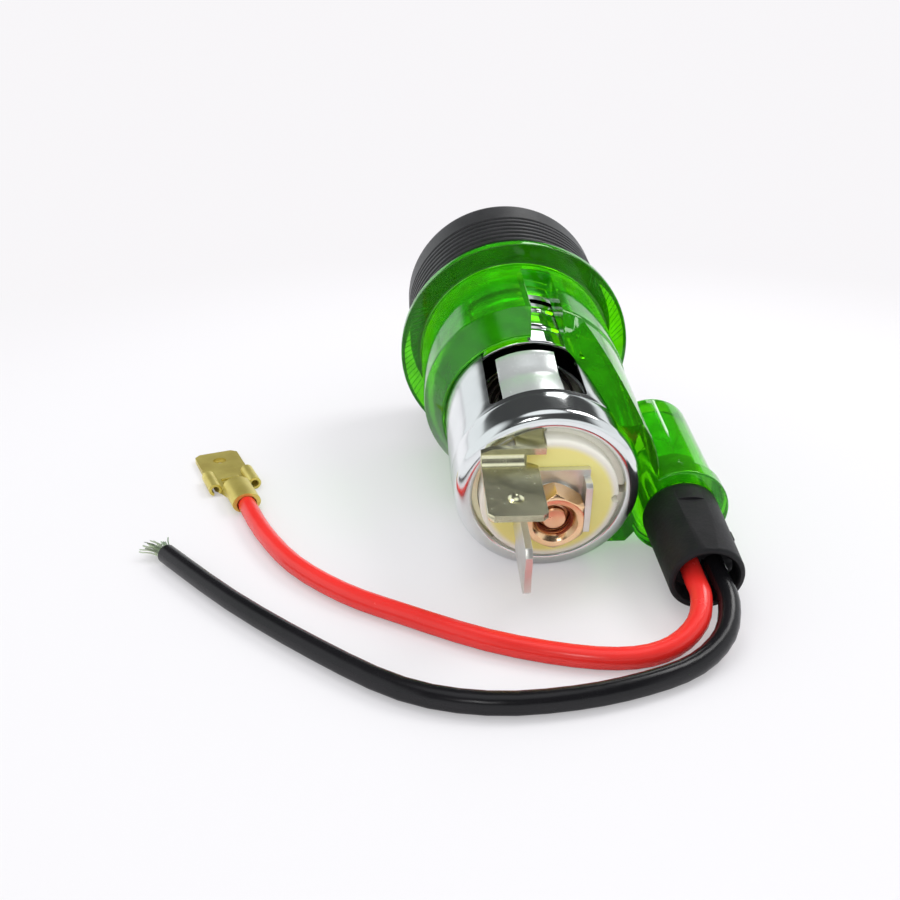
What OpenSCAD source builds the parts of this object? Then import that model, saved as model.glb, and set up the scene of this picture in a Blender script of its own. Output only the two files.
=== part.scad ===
// Twelve volt socket for a car, lying on its side with its pop-out lighter in it.
// Sizes are in millimetres. Most pieces are drawn in the socket's own frame:
// z runs from the panel seat to the rear terminals, y is up and x is to the right.

/* [Socket shell] */
// Inside diameter of the socket
bore_d = 21; // [20.6:0.1:21.6]
// Thickness of the steel sheet
sheet_t = 0.6; // [0.4:0.05:0.8]
// From the panel seat to the rolled rear edge
shell_depth = 36.6; // [35.5:0.5:39]
// Radius of the rounded rear shoulder
shoulder_r = 1.4; // [1.2:0.1:1.7]
// How much the shell narrows before its shoulder
shoulder_in = 0.15; // [0.1:0.05:0.3]
// Opening inside the rolled rear lip
lip_hole_d = 17.8; // [17.6:0.1:18.2]
// Depth of the insulator below the rolled lip
lip_recess = 1; // [0.8:0.1:1.2]
// Width of the turned-out front lip
front_lip_w = 1.6; // [1.2:0.1:1.9]
// Width of the window in the shell
window_w = 11.4; // [10:0.2:12.4]
// Length of the window along the shell
window_len = 26.5; // [23:0.5:27]
// Distance from the rear edge to the window
window_back = 5.5; // [5.25:0.25:7]
// Turn of the window from straight up
window_clock = -5.5; // [-12:0.5:4]
// Diameter of the pressed dimple beside the window
dimple_d = 3; // [2:0.2:4]

/* [Light ring] */
// Diameter of the flange
flange_d = 33.2; // [32.4:0.2:34.6]
// Thickness of the flange
flange_t = 1.8; // [1.6:0.1:2.4]
// Bevel on the front edge of the flange
flange_bevel = 0.5; // [0.2:0.1:0.8]
// Outside diameter of the sleeve, which fits the panel's hole
sleeve_d = 27.4; // [26.8:0.1:28]
// Length of the sleeve's round part behind the panel seat
sleeve_len = 14.1; // [12:0.5:15]
// Extra length of the sleeve at its bore, behind its bevelled end
sleeve_cone = 4; // [2.5:0.5:5]
// Width of the slot in the sleeve
slot_w = 4.2; // [3:0.2:5]
// Turn of the slot from straight up
slot_clock = 9; // [4:1:14]
// Height of the long tongue's edge where it starts
tongue_top = 10.9; // [10:0.1:11.1]
// How steeply the tongue's edge falls, in millimetres for each ten
tongue_fall = 1.76; // [1:0.1:2.2]
// Depth of the tongue's lower edge under the axis
tongue_low = 8.6; // [7.5:0.1:9]

/* [Lamp] */
// Sideways distance from the socket's axis to the lamp's axis
lamp_x = 16.6; // [16.2:0.1:17.2]
// Distance of the lamp's axis under the socket's axis
lamp_drop = 4.6; // [4:0.1:4.6]
// Outside diameter of the lamp tube
lamp_tube_d = 11; // [10.4:0.1:11.2]
// Inside diameter of the lamp tube
lamp_bore_d = 8.4; // [8.2:0.1:8.6]
// Length of the lamp tube
lamp_tube_len = 19; // [16:0.5:19.5]
// Diameter of the collar round the tube's mouth
lamp_collar_d = 12; // [11.6:0.1:12.2]
// Length of the collar
lamp_collar_len = 2.4; // [1.5:0.1:3]
// From the shell's rear edge to the tube's mouth
lamp_mouth = 2; // [1.5:0.25:3]
// Diameter of the lamp holder behind the tube
holder_d = 9.2; // [8.9:0.1:9.3]
// How much narrower the holder is at its rear end
holder_taper = 0.3; // [0.2:0.1:0.6]
// Length of the holder behind the tube
holder_len = 12.5; // [11:0.5:12.5]
// Length of the holder's plug inside the tube
holder_plug_len = 6; // [5:0.5:7]
// Diameter of the glass bulb
bulb_d = 5; // [4.6:0.1:5.2]
// Length of the glass bulb
bulb_len = 11; // [9:0.5:11.5]

/* [Terminals] */
// Width of the blade terminals
blade_w = 6.3; // [6:0.1:6.6]
// Thickness of the blade terminals
blade_t = 0.8; // [0.7:0.05:0.9]
// How far the blades reach behind the shell
blade_out = 12; // [11:0.5:13]
// Bevel at the corners of the blades
blade_bevel = 0.8; // [0.5:0.1:1]
// Distance of the ground blade's underside above the axis
ground_y = 5.2; // [5:0.1:5.3]
// Diameter of the threaded stud
stud_d = 3.9; // [3.6:0.1:4]
// Diameter of the stud's plain nose
nose_d = 2.8; // [2.4:0.1:3]
// Distance across the nut's flats
nut_af = 6.5; // [6.2:0.1:6.6]
// Height of the nut
nut_h = 3.1; // [2.8:0.1:3.4]
// Thickness of the spring washer
washer_t = 0.5; // [0.4:0.1:0.8]
// Thickness of the rear insulator
insulator_t = 2; // [1.6:0.1:2.4]
// Diameter of the insulator's boss behind the rolled lip
boss_d = 16.2; // [15.8:0.1:16.4]
// Height of that boss
boss_h = 2.1; // [1.6:0.1:2.4]
// Rounding of the boss's edge
boss_round = 0.5; // [0.2:0.1:0.6]

/* [Clip] */
// Thickness of the clip's strip
clip_t = 0.4; // [0.3:0.05:0.5]
// Width of a clip finger
finger_w = 7.4; // [6.6:0.2:8]
// Length of a clip finger along the socket
finger_len = 12; // [11:0.5:12.5]
// How many fingers the clip has
finger_count = 3; // [2:1:4]

/* [Lighter] */
// Outside diameter of the lighter's can
can_d = 20.4; // [20.2:0.1:20.4]
// Wall of the can
can_wall = 0.5; // [0.4:0.05:0.6]
// Depth of the can in the socket
can_depth = 17.1; // [16.5:0.1:17.5]
// Diameter of the can's front rim
can_rim_d = 24; // [23:0.2:25]
// Diameter of the knob
knob_d = 30.2; // [29:0.2:31]
// Height of the knob
knob_h = 16; // [15:0.5:17]
// Rounding of the knob's front edge
knob_round = 2.4; // [1.5:0.1:3]
// How many grooves go round the knob
groove_count = 6; // [4:1:7]
// Spacing of the knob's grooves
groove_pitch = 1.5; // [1.3:0.1:1.6]
// Depth of the knob's grooves
groove_depth = 0.4; // [0.3:0.1:0.6]
// How far the knob is pushed in
push_travel = 4; // [3:0.25:4]
// Diameter of the knob's flat front insert
insert_d = 22; // [18:0.5:24]
// Diameter of the plunger's shaft
shaft_d = 3; // [2.8:0.1:3.2]
// Diameter of the heater cup
cup_d = 16; // [15:0.2:16.2]
// Depth of the heater cup
cup_depth = 5; // [4:0.5:5.5]
// Turns of the heater ribbon
coil_turns = 5; // [4:1:6]

/* [Wires] */
// Outside diameter of a wire
wire_d = 2.4; // [2.2:0.1:2.4]
// Distance between the two wires at the holder
wire_gap = 2.8; // [2.7:0.1:3]

/* [Hidden] */

// Clearances
seat_gap = 0.02;       // between pieces that rest on each other
slip_gap = 0.1;        // between a round piece and the bore it is fitted in
move_gap = 0.3;        // between pieces that move past each other
run_gap = 0.05;        // between the shaft and its bush
eps = 0.01;            // overshoot of a cutting shape
cut = 60;              // longer than any piece that it cuts
fine = 96;             // facets of large round shapes
mid = 48;              // facets of small round shapes

// Shell
bore_r = bore_d / 2;
shell_r = bore_r + sheet_t;
lip_hole_r = lip_hole_d / 2;
lip_bead_r = lip_recess / 2 - seat_gap;
shoulder_c = shell_r - shoulder_in - shoulder_r;
shoulder_len = 3.4;
front_lip_r = shell_r + front_lip_w;
window_z1 = shell_depth - window_back;
window_z0 = window_z1 - window_len;
dimple_z = 20.2;
dimple_clock = 37;
dimple_rise = 0.5;

// Light ring
flange_r = flange_d / 2;
sleeve_r = sleeve_d / 2;
ring_bore_r = shell_r + slip_gap;
cone_end_z = sleeve_len + sleeve_cone;
cone_end_r = ring_bore_r + 0.25;
lamp_end_z = shell_depth - lamp_mouth;
lamp_front_z = lamp_end_z - lamp_tube_len;
lamp_wall_front = 2.4;
lamp_cap_round = 1;
lamp_y = -lamp_drop;
slot_z0 = 1.8;
tongue_z0 = cone_end_z;
tongue_r = sleeve_r - 0.2;
channel_w = dimple_d + 0.8;

// Rear stack, from the lip forwards and from the lip rearwards
disc_z1 = shell_depth - lip_recess;
disc_z0 = disc_z1 - insulator_t;
disc_r = bore_r - shoulder_in - 0.2;
boss_r = boss_d / 2;
boss_z1 = disc_z1 + boss_h;
foot_t = 0.6;
foot_in_r = boss_r + slip_gap + seat_gap;
foot_out_r = 9.9;
foot_clock0 = -136;
foot_clock1 = -5;
clip_z1 = disc_z0;
clip_base_r = 7.6;
stack_hole_r = stud_d / 2 + slip_gap;
head_z1 = clip_z1 - clip_t;
inner_washer_t = 0.6;
inner_washer_r = 4.4;
head_h = 1.2;
head_r = 3.3;
plate_z1 = boss_z1 + blade_t;
plate_left = -4.1;
plate_right = 4.3;
plate_low = -3.7;
plate_high = 4.7;
wall_high = 2;
washer_r = 3.2;
nut_z0 = plate_z1 + washer_t;
nut_z1 = nut_z0 + nut_h;
stud_end = nut_z1 - 0.1;
nose_len = 0.8;
blade_end = shell_depth + blade_out;
feed_blade_mid = -2.05;
ground_left = -8.2;
ground_web_left = -6.5;
ground_riser_left = -4.2;
ground_riser_right = -0.9;
ground_riser_y = 6.9;
ground_riser_top = 8.5;
ground_web_z = boss_z1 + seat_gap;
ground_shoulder_z = ground_web_z + blade_t;
ground_dimple_z = 45.6;
ground_dimple_r = 1.1;

// Lighter, forwards of the panel seat z is negative
mouth_z = -flange_t - seat_gap;
lip_front_z = -flange_t;
rim_z1 = lip_front_z - move_gap / 3;
rim_t = 0.8;
rim_z0 = rim_z1 - rim_t;
can_r = can_d / 2;
can_in_r = can_r - can_wall;
knob_gap = push_travel + 0.2;
knob_back = -flange_t - knob_gap;
knob_front = knob_back - knob_h;
knob_r = knob_d / 2;
knob_pocket = 9;
knob_floor = knob_back - knob_pocket;
insert_t = 1;
insert_r = insert_d / 2;
bush_z0 = 6.5;
bush_t = 2.2;
shaft_r = shaft_d / 2;
cup_r = cup_d / 2;
cup_z1 = 18.6;
cup_z0 = cup_z1 - cup_depth;
cup_wall = 0.4;
heater_disc_h = 1.4;
ribbon_h = 1.6;
ribbon_t = 0.28;
ribbon_start_r = 2.3;
spring_r = 3.4;
spring_wire = 0.7;
spring_z0 = knob_floor + 0.6;
spring_z1 = bush_z0;
spring_turns = 6;
collar_r = 2.6;

// Wires
wire_r = wire_d / 2;
cavity_r = 3.5;
cavity_depth = 3;
holder_end = lamp_end_z + holder_len;
holder_floor = holder_end - cavity_depth;

// The socket rests on the flange's rear edge and on its own rear shoulder:
// the tilt is that of the line that touches both.
rest_run = shell_depth - shoulder_r;
rest_rise = flange_r - shoulder_c;
tilt = atan2(rest_rise, rest_run) - asin(shoulder_r / norm([rest_run, rest_rise]));
axis_height = flange_r * cos(tilt);

// The part's own origin is under the middle of its box, cords apart.
box_x0 = -flange_r;
box_x1 = lamp_x + lamp_collar_d / 2;
box_y0 = -blade_end * cos(tilt) - (ground_y + blade_t) * sin(tilt);
box_y1 = -(knob_front + knob_round) * cos(tilt) + (knob_r - knob_round) * sin(tilt) + knob_round;
mid_x = (box_x0 + box_x1) / 2;
mid_y = (box_y0 + box_y1) / 2;

// Routes of the two wires in the part's own frame, laid on the floor
red_x = lamp_x - mid_x - wire_gap / 2;
black_x = lamp_x - mid_x + wire_gap / 2;
red_route = [
    [red_x, -29.3, 5.03], [red_x, -33.2, 4.41], [red_x, -35.8, 3.8], [11, -38.9, 2.6],
    [7.9, -41.5, 1.6], [3.5, -42.8, 1.25], [-2.7, -42.1, 1.25], [-11.3, -38.8, 1.25],
    [-20.3, -33.2, 1.25], [-27, -28.4, 1.25], [-33.2, -21.6, 1.25], [-37.8, -13.2, 1.25], [-40.9, -5.2, 1.25]
];
black_route = [
    [black_x, -29.3, 5.03], [black_x, -33.2, 4.41], [black_x, -36.7, 3.6], [13.4, -40.8, 2.3],
    [9.5, -44.4, 1.4], [3.7, -47.1, 1.25], [-3.8, -49, 1.25], [-12.3, -49.3, 1.25],
    [-20.5, -46.6, 1.25], [-29.4, -39.4, 1.25], [-39.5, -29.4, 1.25], [-49, -18.2, 1.25]
];
wire_steps = 2;
wire_sides = 8;

function unit(v) = v / norm(v);

// Point on the smooth curve through points a, b, c and d, between b and c
function curve_point(a, b, c, d, u) =
    0.5 * (2 * b + (c - a) * u + (2 * a - 5 * b + 4 * c - d) * u * u
    + (3 * b - a - 3 * c + d) * u * u * u);

function smooth_route(r) = concat(
    [for (i = [0 : len(r) - 2], k = [0 : wire_steps - 1])
        curve_point(r[max(i - 1, 0)], r[i], r[i + 1], r[min(i + 2, len(r) - 1)], k / wire_steps)],
    [r[len(r) - 1]]
);

function route_direction(p, i) = unit(p[min(i + 1, len(p) - 1)] - p[max(i - 1, 0)]);

function ring_at(p, i, r) =
    let (along = route_direction(p, i), side = unit(cross(along, [0, 0, 1])), up = cross(side, along))
    [for (k = [0 : wire_sides - 1])
        let (turn = 360 * (k + 0.5) / wire_sides)
        p[i] + r * (cos(turn) * side + sin(turn) * up)];

// Round tube swept along a route
module swept_wire(route, r) {
    path = smooth_route(route);
    last = len(path) - 1;
    points = [for (i = [0 : last]) each ring_at(path, i, r)];
    walls = [for (i = [0 : last - 1], k = [0 : wire_sides - 1])
        let (next = (k + 1) % wire_sides)
        [i * wire_sides + k, i * wire_sides + next, (i + 1) * wire_sides + next, (i + 1) * wire_sides + k]];
    first_cap = [for (k = [wire_sides - 1 : -1 : 0]) k];
    last_cap = [for (k = [0 : wire_sides - 1]) last * wire_sides + k];
    polyhedron(points, concat(walls, [first_cap], [last_cap]), convexity = 4);
}

// From the socket's own frame to the part's frame, lying on the floor
module laid() {
    translate([-mid_x, -mid_y, axis_height])
        rotate([90 + tilt, 0, 0])
            children();
}

// Turned about the socket's axis, clockwise as seen from the rear
module clocked(angle) {
    rotate([0, 0, -angle]) children();
}

// Ring with a square section
module washer(outer_r, inner_r, z0, z1) {
    difference() {
        translate([0, 0, z0]) cylinder(h = z1 - z0, r = outer_r, $fn = fine);
        translate([0, 0, z0 - eps]) cylinder(h = z1 - z0 + 2 * eps, r = inner_r, $fn = mid);
    }
}

// Flat blade in the x-z plane with bevelled corners at its far end
module blade_outline(width, length) {
    polygon([
        [-width / 2, 0], [width / 2, 0], [width / 2, length - blade_bevel],
        [width / 2 - blade_bevel, length], [blade_bevel - width / 2, length],
        [-width / 2, length - blade_bevel]
    ]);
}

// Half section of the steel shell: front lip, wall, round shoulder and rolled rear lip
module shell_section() {
    round_z = shell_depth - shoulder_r;
    polygon([
        [bore_r, lip_front_z], [shell_r, lip_front_z], [shell_r, round_z - shoulder_len],
        [shell_r - shoulder_in, round_z], [bore_r - shoulder_in, round_z], [bore_r, round_z - shoulder_len]
    ]);
    translate([bore_r, lip_front_z]) square([front_lip_r - bore_r, sheet_t]);
    translate([shoulder_c, shell_depth - shoulder_r]) intersection() {
        difference() {
            circle(r = shoulder_r, $fn = fine);
            circle(r = shoulder_r - sheet_t, $fn = fine);
        }
        square(shoulder_r);
    }
    translate([lip_hole_r + lip_bead_r, shell_depth - sheet_t])
        square([shoulder_c - lip_hole_r - lip_bead_r, sheet_t]);
    translate([lip_hole_r + lip_bead_r, shell_depth - lip_bead_r]) circle(r = lip_bead_r, $fn = mid);
}

module socket_shell() {
    color("silver") laid() {
        difference() {
            union() {
                rotate_extrude($fn = fine) shell_section();
                clocked(dimple_clock) translate([0, bore_r + 0.1, dimple_z]) rotate([-90, 0, 0])
                    cylinder(h = sheet_t + dimple_rise - 0.1, d = dimple_d, $fn = mid);
            }
            clocked(window_clock) translate([-window_w / 2, 0, window_z0])
                cube([window_w, cut, window_len]);
            translate([0, 0, dimple_z]) clocked(dimple_clock) translate([0, bore_r - 1, 0])
                rotate([-90, 0, 0]) cylinder(h = 1 + dimple_rise, d = dimple_d - sheet_t, $fn = mid);
        }
    }
}

// Half section of the flange and the round sleeve with its bevelled end
module ring_section() {
    counterbore_r = front_lip_r + slip_gap;
    counterbore_z = lip_front_z + sheet_t + seat_gap;
    polygon([
        [ring_bore_r, counterbore_z], [counterbore_r, counterbore_z], [counterbore_r, -flange_t],
        [flange_r - flange_bevel, -flange_t], [flange_r, flange_bevel - flange_t], [flange_r, 0],
        [sleeve_r, 0], [sleeve_r, sleeve_len], [cone_end_r, cone_end_z], [ring_bore_r, cone_end_z]
    ]);
}

// Long side of the sleeve, cut off along a slanting plane
module tongue() {
    intersection() {
        translate([0, 0, sleeve_len]) cylinder(h = lamp_end_z - sleeve_len, r = tongue_r, $fn = fine);
        rotate([90, 0, 90]) linear_extrude(sleeve_r + 1) polygon([
            [-tongue_low, sleeve_len], [tongue_top, sleeve_len], [tongue_top, tongue_z0],
            [tongue_top - (lamp_end_z - tongue_z0) * tongue_fall / 10, lamp_end_z], [-tongue_low, lamp_end_z]
        ]);
    }
}

// Outside of the lamp tube: round front end, tube and collar
module lamp_tube_body() {
    tube_r = lamp_tube_d / 2;
    collar_z0 = lamp_end_z - lamp_collar_len;
    translate([lamp_x, lamp_y, 0]) rotate_extrude($fn = fine) {
        translate([0, lamp_front_z + lamp_cap_round]) square([tube_r, lamp_tube_len - lamp_cap_round]);
        translate([0, lamp_front_z]) square([tube_r - lamp_cap_round, lamp_cap_round + eps]);
        translate([tube_r - lamp_cap_round, lamp_front_z + lamp_cap_round])
            circle(r = lamp_cap_round, $fn = mid);
        translate([0, collar_z0]) square([lamp_collar_d / 2, lamp_collar_len]);
    }
}

module light_ring() {
    color("limegreen") laid() {
        difference() {
            union() {
                rotate_extrude($fn = fine) ring_section();
                tongue();
                lamp_tube_body();
            }
            translate([0, 0, sleeve_len - 1]) cylinder(h = cut, r = ring_bore_r, $fn = fine);
            clocked(dimple_clock) translate([-channel_w / 2, 0, 1])
                cube([channel_w, shell_r + dimple_rise + slip_gap, dimple_z + channel_w / 2 - 1]);
            clocked(slot_clock) translate([-slot_w / 2, 0, slot_z0]) cube([slot_w, cut, cut]);
            translate([lamp_x, lamp_y, lamp_front_z + lamp_wall_front])
                cylinder(h = cut, d = lamp_bore_d, $fn = fine);
        }
    }
}

// Sector of a ring between two clock angles
module ring_sector(inner_r, outer_r, z0, height, clock0, clock1) {
    difference() {
        intersection() {
            translate([0, 0, z0]) cylinder(h = height, r = outer_r, $fn = fine);
            translate([0, 0, z0]) linear_extrude(height) polygon(concat([[0, 0]],
                [for (k = [0 : 6]) let (turn = clock0 + (clock1 - clock0) * k / 6)
                    2 * outer_r * [sin(turn), cos(turn)]]));
        }
        translate([0, 0, z0 - eps]) cylinder(h = height + 2 * eps, r = inner_r, $fn = fine);
    }
}

module rear_insulator() {
    notch_r = 0.55;
    notch_x = 7.7;
    color("cornsilk") laid() {
        difference() {
            rotate_extrude($fn = fine) {
                translate([0, disc_z0]) square([disc_r, insulator_t]);
                translate([0, disc_z1 - eps]) square([boss_r, boss_h - boss_round + eps]);
                translate([0, disc_z1 - eps]) square([boss_r - boss_round, boss_h + eps]);
                translate([boss_r - boss_round, boss_z1 - boss_round]) circle(r = boss_round, $fn = mid);
            }
            translate([0, 0, disc_z0 - eps]) cylinder(h = cut, r = stack_hole_r, $fn = mid);
            translate([notch_x, 0, disc_z0 - eps]) cylinder(h = cut, r = notch_r, $fn = mid);
            translate([notch_x, -notch_r, disc_z0 - eps]) cube([disc_r, 2 * notch_r, cut]);
            translate([ground_riser_left - slip_gap, ground_riser_y - slip_gap, disc_z1 - foot_t - seat_gap])
                cube([ground_riser_right - ground_riser_left + 2 * slip_gap, disc_r, cut]);
            ring_sector(foot_in_r - slip_gap, disc_r + 1, disc_z1 - foot_t - seat_gap, 2,
                foot_clock0 - 1, foot_clock1 + 1);
        }
    }
}

module clip_washer() {
    color("gainsboro") laid()
        washer(inner_washer_r, stack_hole_r, head_z1 - inner_washer_t, head_z1);
}

// Half section of a finger: out along the base, round the bend and forwards to its tip
module finger_section() {
    bend_r = 1.2;
    wall_r = 9.7;
    tip_r = 9.4;
    tip_z = clip_z1 - finger_len;
    knee_z = tip_z + 4;
    translate([inner_washer_r, clip_z1 - clip_t]) square([wall_r - bend_r - inner_washer_r, clip_t]);
    translate([wall_r - bend_r, clip_z1 - bend_r]) intersection() {
        difference() {
            circle(r = bend_r, $fn = mid);
            circle(r = bend_r - clip_t, $fn = mid);
        }
        square(bend_r);
    }
    polygon([
        [wall_r, clip_z1 - bend_r], [wall_r + 0.25, knee_z + 1.2], [wall_r, knee_z - 0.6],
        [tip_r, tip_z], [tip_r - clip_t, tip_z + 0.1], [wall_r - clip_t, knee_z - 0.4],
        [wall_r + 0.25 - clip_t, knee_z + 1.2], [wall_r - clip_t, clip_z1 - bend_r]
    ]);
}

module bimetal_clip() {
    color("lightsteelblue") laid() {
        washer(clip_base_r, stack_hole_r, clip_z1 - clip_t, clip_z1);
        for (k = [0 : finger_count - 1]) clocked(window_clock - 2 + 360 * k / finger_count)
            intersection() {
                rotate_extrude($fn = fine) finger_section();
                translate([-finger_w / 2, 0, clip_z1 - finger_len - 1]) cube([finger_w, cut, finger_len + 2]);
            }
    }
}

module centre_stud() {
    head_z0 = head_z1 - inner_washer_t - head_h;
    color("peru") laid() {
        translate([0, 0, head_z0]) cylinder(h = head_h, r = head_r, $fn = mid);
        translate([0, 0, head_z0]) cylinder(h = stud_end - nose_len - head_z0, d = stud_d, $fn = mid);
        translate([0, 0, head_z0]) cylinder(h = stud_end - head_z0, d = nose_d, $fn = mid);
    }
}

// Split spring washer
module spring_washer() {
    split_w = 0.5;
    color("silver") laid() difference() {
        washer(washer_r, stack_hole_r, plate_z1, nut_z0);
        translate([-split_w / 2, -washer_r - 1, plate_z1 - eps]) cube([split_w, washer_r, washer_t + 2 * eps]);
    }
}

// Hexagon nut with bevelled corners and a countersunk thread
module terminal_nut() {
    corner_r = nut_af / sqrt(3);
    face_r = nut_af / 2;
    bevel = 0.45;
    sink = 0.5;
    color("chocolate") laid() difference() {
        intersection() {
            translate([0, 0, nut_z0]) rotate([0, 0, 90]) cylinder(h = nut_h, r = corner_r, $fn = 6);
            rotate_extrude($fn = fine) polygon([
                [0, nut_z0], [face_r, nut_z0], [corner_r + 0.1, nut_z0 + bevel],
                [corner_r + 0.1, nut_z1 - bevel], [face_r, nut_z1], [0, nut_z1]
            ]);
        }
        translate([0, 0, nut_z0 - eps]) cylinder(h = cut, r = stack_hole_r, $fn = mid);
        translate([0, 0, nut_z1 - sink]) cylinder(h = sink + eps, r1 = stack_hole_r, r2 = stack_hole_r + sink,
            $fn = mid);
    }
}

// Plate under the nut, bent up into the live blade at its left edge and a low wall at its right
module feed_terminal() {
    wall_inset = 0.8;
    neck_h = 1.6;
    color("silver") laid() {
        difference() {
            translate([plate_left, plate_low, boss_z1])
                cube([plate_right - plate_left, plate_high - plate_low, blade_t]);
            translate([0, 0, boss_z1 - eps]) cylinder(h = blade_t + 2 * eps, r = stack_hole_r, $fn = mid);
        }
        translate([plate_right - blade_t, plate_low + wall_inset, boss_z1])
            cube([blade_t, plate_high - plate_low - 2 * wall_inset, blade_t + wall_high]);
        difference() {
            translate([plate_left, feed_blade_mid, plate_z1 - blade_t]) rotate([90, 0, 90])
                linear_extrude(blade_t) blade_outline(blade_w, blade_end - plate_z1 + blade_t);
            translate([plate_left - 1, plate_low - blade_w, boss_z1 - 1])
                cube([blade_t + 2, blade_w, blade_t + neck_h]);
        }
    }
}

// Foot held in the insulator by the rolled lip, riser beside the boss, web over it and ground blade
module ground_terminal() {
    root_z0 = disc_z1 - foot_t;
    blade_mid = ground_left + blade_w / 2;
    riser_w = ground_riser_right - ground_riser_left;
    color("darkkhaki") laid() difference() {
        union() {
            ring_sector(foot_in_r, foot_out_r, root_z0, foot_t - seat_gap, foot_clock0, foot_clock1);
            translate([ground_riser_left, ground_riser_y, root_z0])
                cube([riser_w, ground_riser_top - ground_riser_y, foot_t - seat_gap]);
            translate([ground_riser_left, ground_riser_y, root_z0])
                cube([riser_w, blade_t, ground_shoulder_z - root_z0]);
            translate([ground_web_left, ground_y, ground_web_z])
                cube([ground_riser_right - ground_web_left, ground_riser_y + blade_t - ground_y, blade_t]);
            translate([blade_mid, ground_y + blade_t, ground_shoulder_z - eps]) rotate([90, 0, 0])
                linear_extrude(blade_t) blade_outline(blade_w, blade_end - ground_shoulder_z + eps);
        }
        translate([blade_mid, ground_y + blade_t + ground_dimple_r * 0.6, ground_dimple_z])
            sphere(r = ground_dimple_r, $fn = mid);
    }
}

module lamp_holder() {
    plug_z0 = lamp_end_z - holder_plug_len;
    flat_x = 0.35;
    notch_r = 0.9;
    pin_hole_z = holder_end - 3.2;
    wall_end_r = holder_d / 2 - holder_taper;
    color("dimgray") laid() translate([lamp_x, lamp_y, 0]) difference() {
        union() {
            rotate_extrude($fn = fine) polygon([
                [0, plug_z0], [lamp_bore_d / 2 - slip_gap, plug_z0], [lamp_bore_d / 2 - slip_gap, lamp_end_z],
                [holder_d / 2, lamp_end_z + seat_gap], [wall_end_r, holder_end - 0.5],
                [wall_end_r - 0.5, holder_end], [0, holder_end]
            ]);
            translate([holder_d / 2 - 0.8, -0.6, lamp_end_z + 4.6]) cube([0.9, 1.2, 1.6]);
        }
        translate([0, 0, holder_floor]) cylinder(h = cut, r = cavity_r, $fn = fine);
        translate([0, 0, plug_z0 - eps]) cylinder(h = 3, r = bulb_d / 2 + slip_gap, $fn = mid);
        for (side = [-1, 1]) {
            translate([side * (bulb_d / 2 + slip_gap + 0.25) - 0.3, -1.2, plug_z0 - eps]) cube([0.6, 2.4, 4.4]);
            translate([-cut / 2, side * (holder_d / 2 - flat_x) - (side < 0 ? cut : 0), lamp_end_z + 3])
                cube([cut, cut, holder_len]);
        }
        translate([0, -0.4, pin_hole_z]) rotate([0, 90, 0]) cylinder(h = cut, r = notch_r, $fn = mid);
    }
}

module lamp_bulb() {
    plug_z0 = lamp_end_z - holder_plug_len;
    bulb_r = bulb_d / 2;
    bulb_back = plug_z0 + 2.8;
    dome_z = bulb_back - bulb_len + bulb_r;
    color("lightcyan") laid() translate([lamp_x, lamp_y, 0]) rotate_extrude($fn = fine) {
        translate([0, dome_z]) square([bulb_r, bulb_back - dome_z]);
        intersection() {
            translate([0, dome_z]) circle(r = bulb_r, $fn = mid);
            translate([0, dome_z - bulb_r]) square([bulb_r, bulb_r + eps]);
        }
    }
}

// Spring strip beside the bulb's base, in a slot of the holder
module lamp_contact(side) {
    plug_z0 = lamp_end_z - holder_plug_len;
    strip_t = 0.3;
    color("goldenrod") laid() translate([lamp_x, lamp_y, 0])
        translate([side * (bulb_d / 2 + slip_gap + 0.25) - strip_t / 2, -0.9, plug_z0 - 1.2])
            cube([strip_t, 1.8, 5.4]);
}

module lamp_contact_feed() lamp_contact(-1);
module lamp_contact_ground() lamp_contact(1);

module red_wire() color("red") swept_wire(red_route, wire_r);
module black_wire() color("black") swept_wire(black_route, wire_r);

// Placed at a wire's end, with y along the wire's last direction
module at_wire_end(route) {
    last = len(route) - 1;
    along = unit(route[last] - route[last - 1]);
    translate([route[last][0], route[last][1], 0]) rotate([0, 0, atan2(along[1], along[0]) - 90])
        children();
}

// Male tab with a pierced tongue, rolled sides, ribs and a crimped barrel
module male_terminal() {
    metal_t = 0.8;
    barrel_r = 1.7;
    barrel_len = 6;
    roll_r = 0.9;
    roll_len = 5;
    body_y0 = barrel_len + 0.8;
    tongue_y0 = body_y0 + roll_len;
    tongue_len = 8.4;
    color("goldenrod") at_wire_end(red_route) {
        translate([0, 0, barrel_r]) rotate([-90, 0, 0]) difference() {
            translate([0, 0, seat_gap]) cylinder(h = barrel_len, r = barrel_r, $fn = mid);
            translate([0, 0, 1]) cylinder(h = barrel_len, r = barrel_r - 0.45, $fn = mid);
        }
        translate([-blade_w / 2 + roll_r, barrel_len - 0.2, 0]) cube([blade_w - 2 * roll_r, roll_len + 1.2, metal_t]);
        for (side = [-1, 1]) translate([side * (blade_w / 2 - roll_r * 0.4), body_y0, roll_r])
            rotate([-90, 0, 0]) cylinder(h = roll_len, r = roll_r, $fn = mid);
        for (k = [0 : 2]) translate([-1.2, barrel_len + 1.4 + k * 1.3, metal_t - 0.1])
            cube([2.4, 0.5, 0.35]);
        difference() {
            translate([0, tongue_y0 - 0.2, 0]) linear_extrude(metal_t) blade_outline(blade_w, tongue_len);
            translate([0, tongue_y0 + tongue_len * 0.62, -eps]) cylinder(h = 2, r = 0.95, $fn = mid);
        }
    }
}

// Tinned strands fanned out of the black wire's end
module bare_strands() {
    strand_count = 7;
    strand_r = 0.28;
    strand_len = 4.6;
    color("lightgray") at_wire_end(black_route) for (k = [0 : strand_count - 1]) {
        spread = (k - (strand_count - 1) / 2) / strand_count;
        translate([spread * 1.7, -0.4, 0.7 + 0.4 * (k % 2)]) rotate([-90, 0, -spread * 34])
            cylinder(h = strand_len, r = strand_r, $fn = 16);
    }
}

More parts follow.
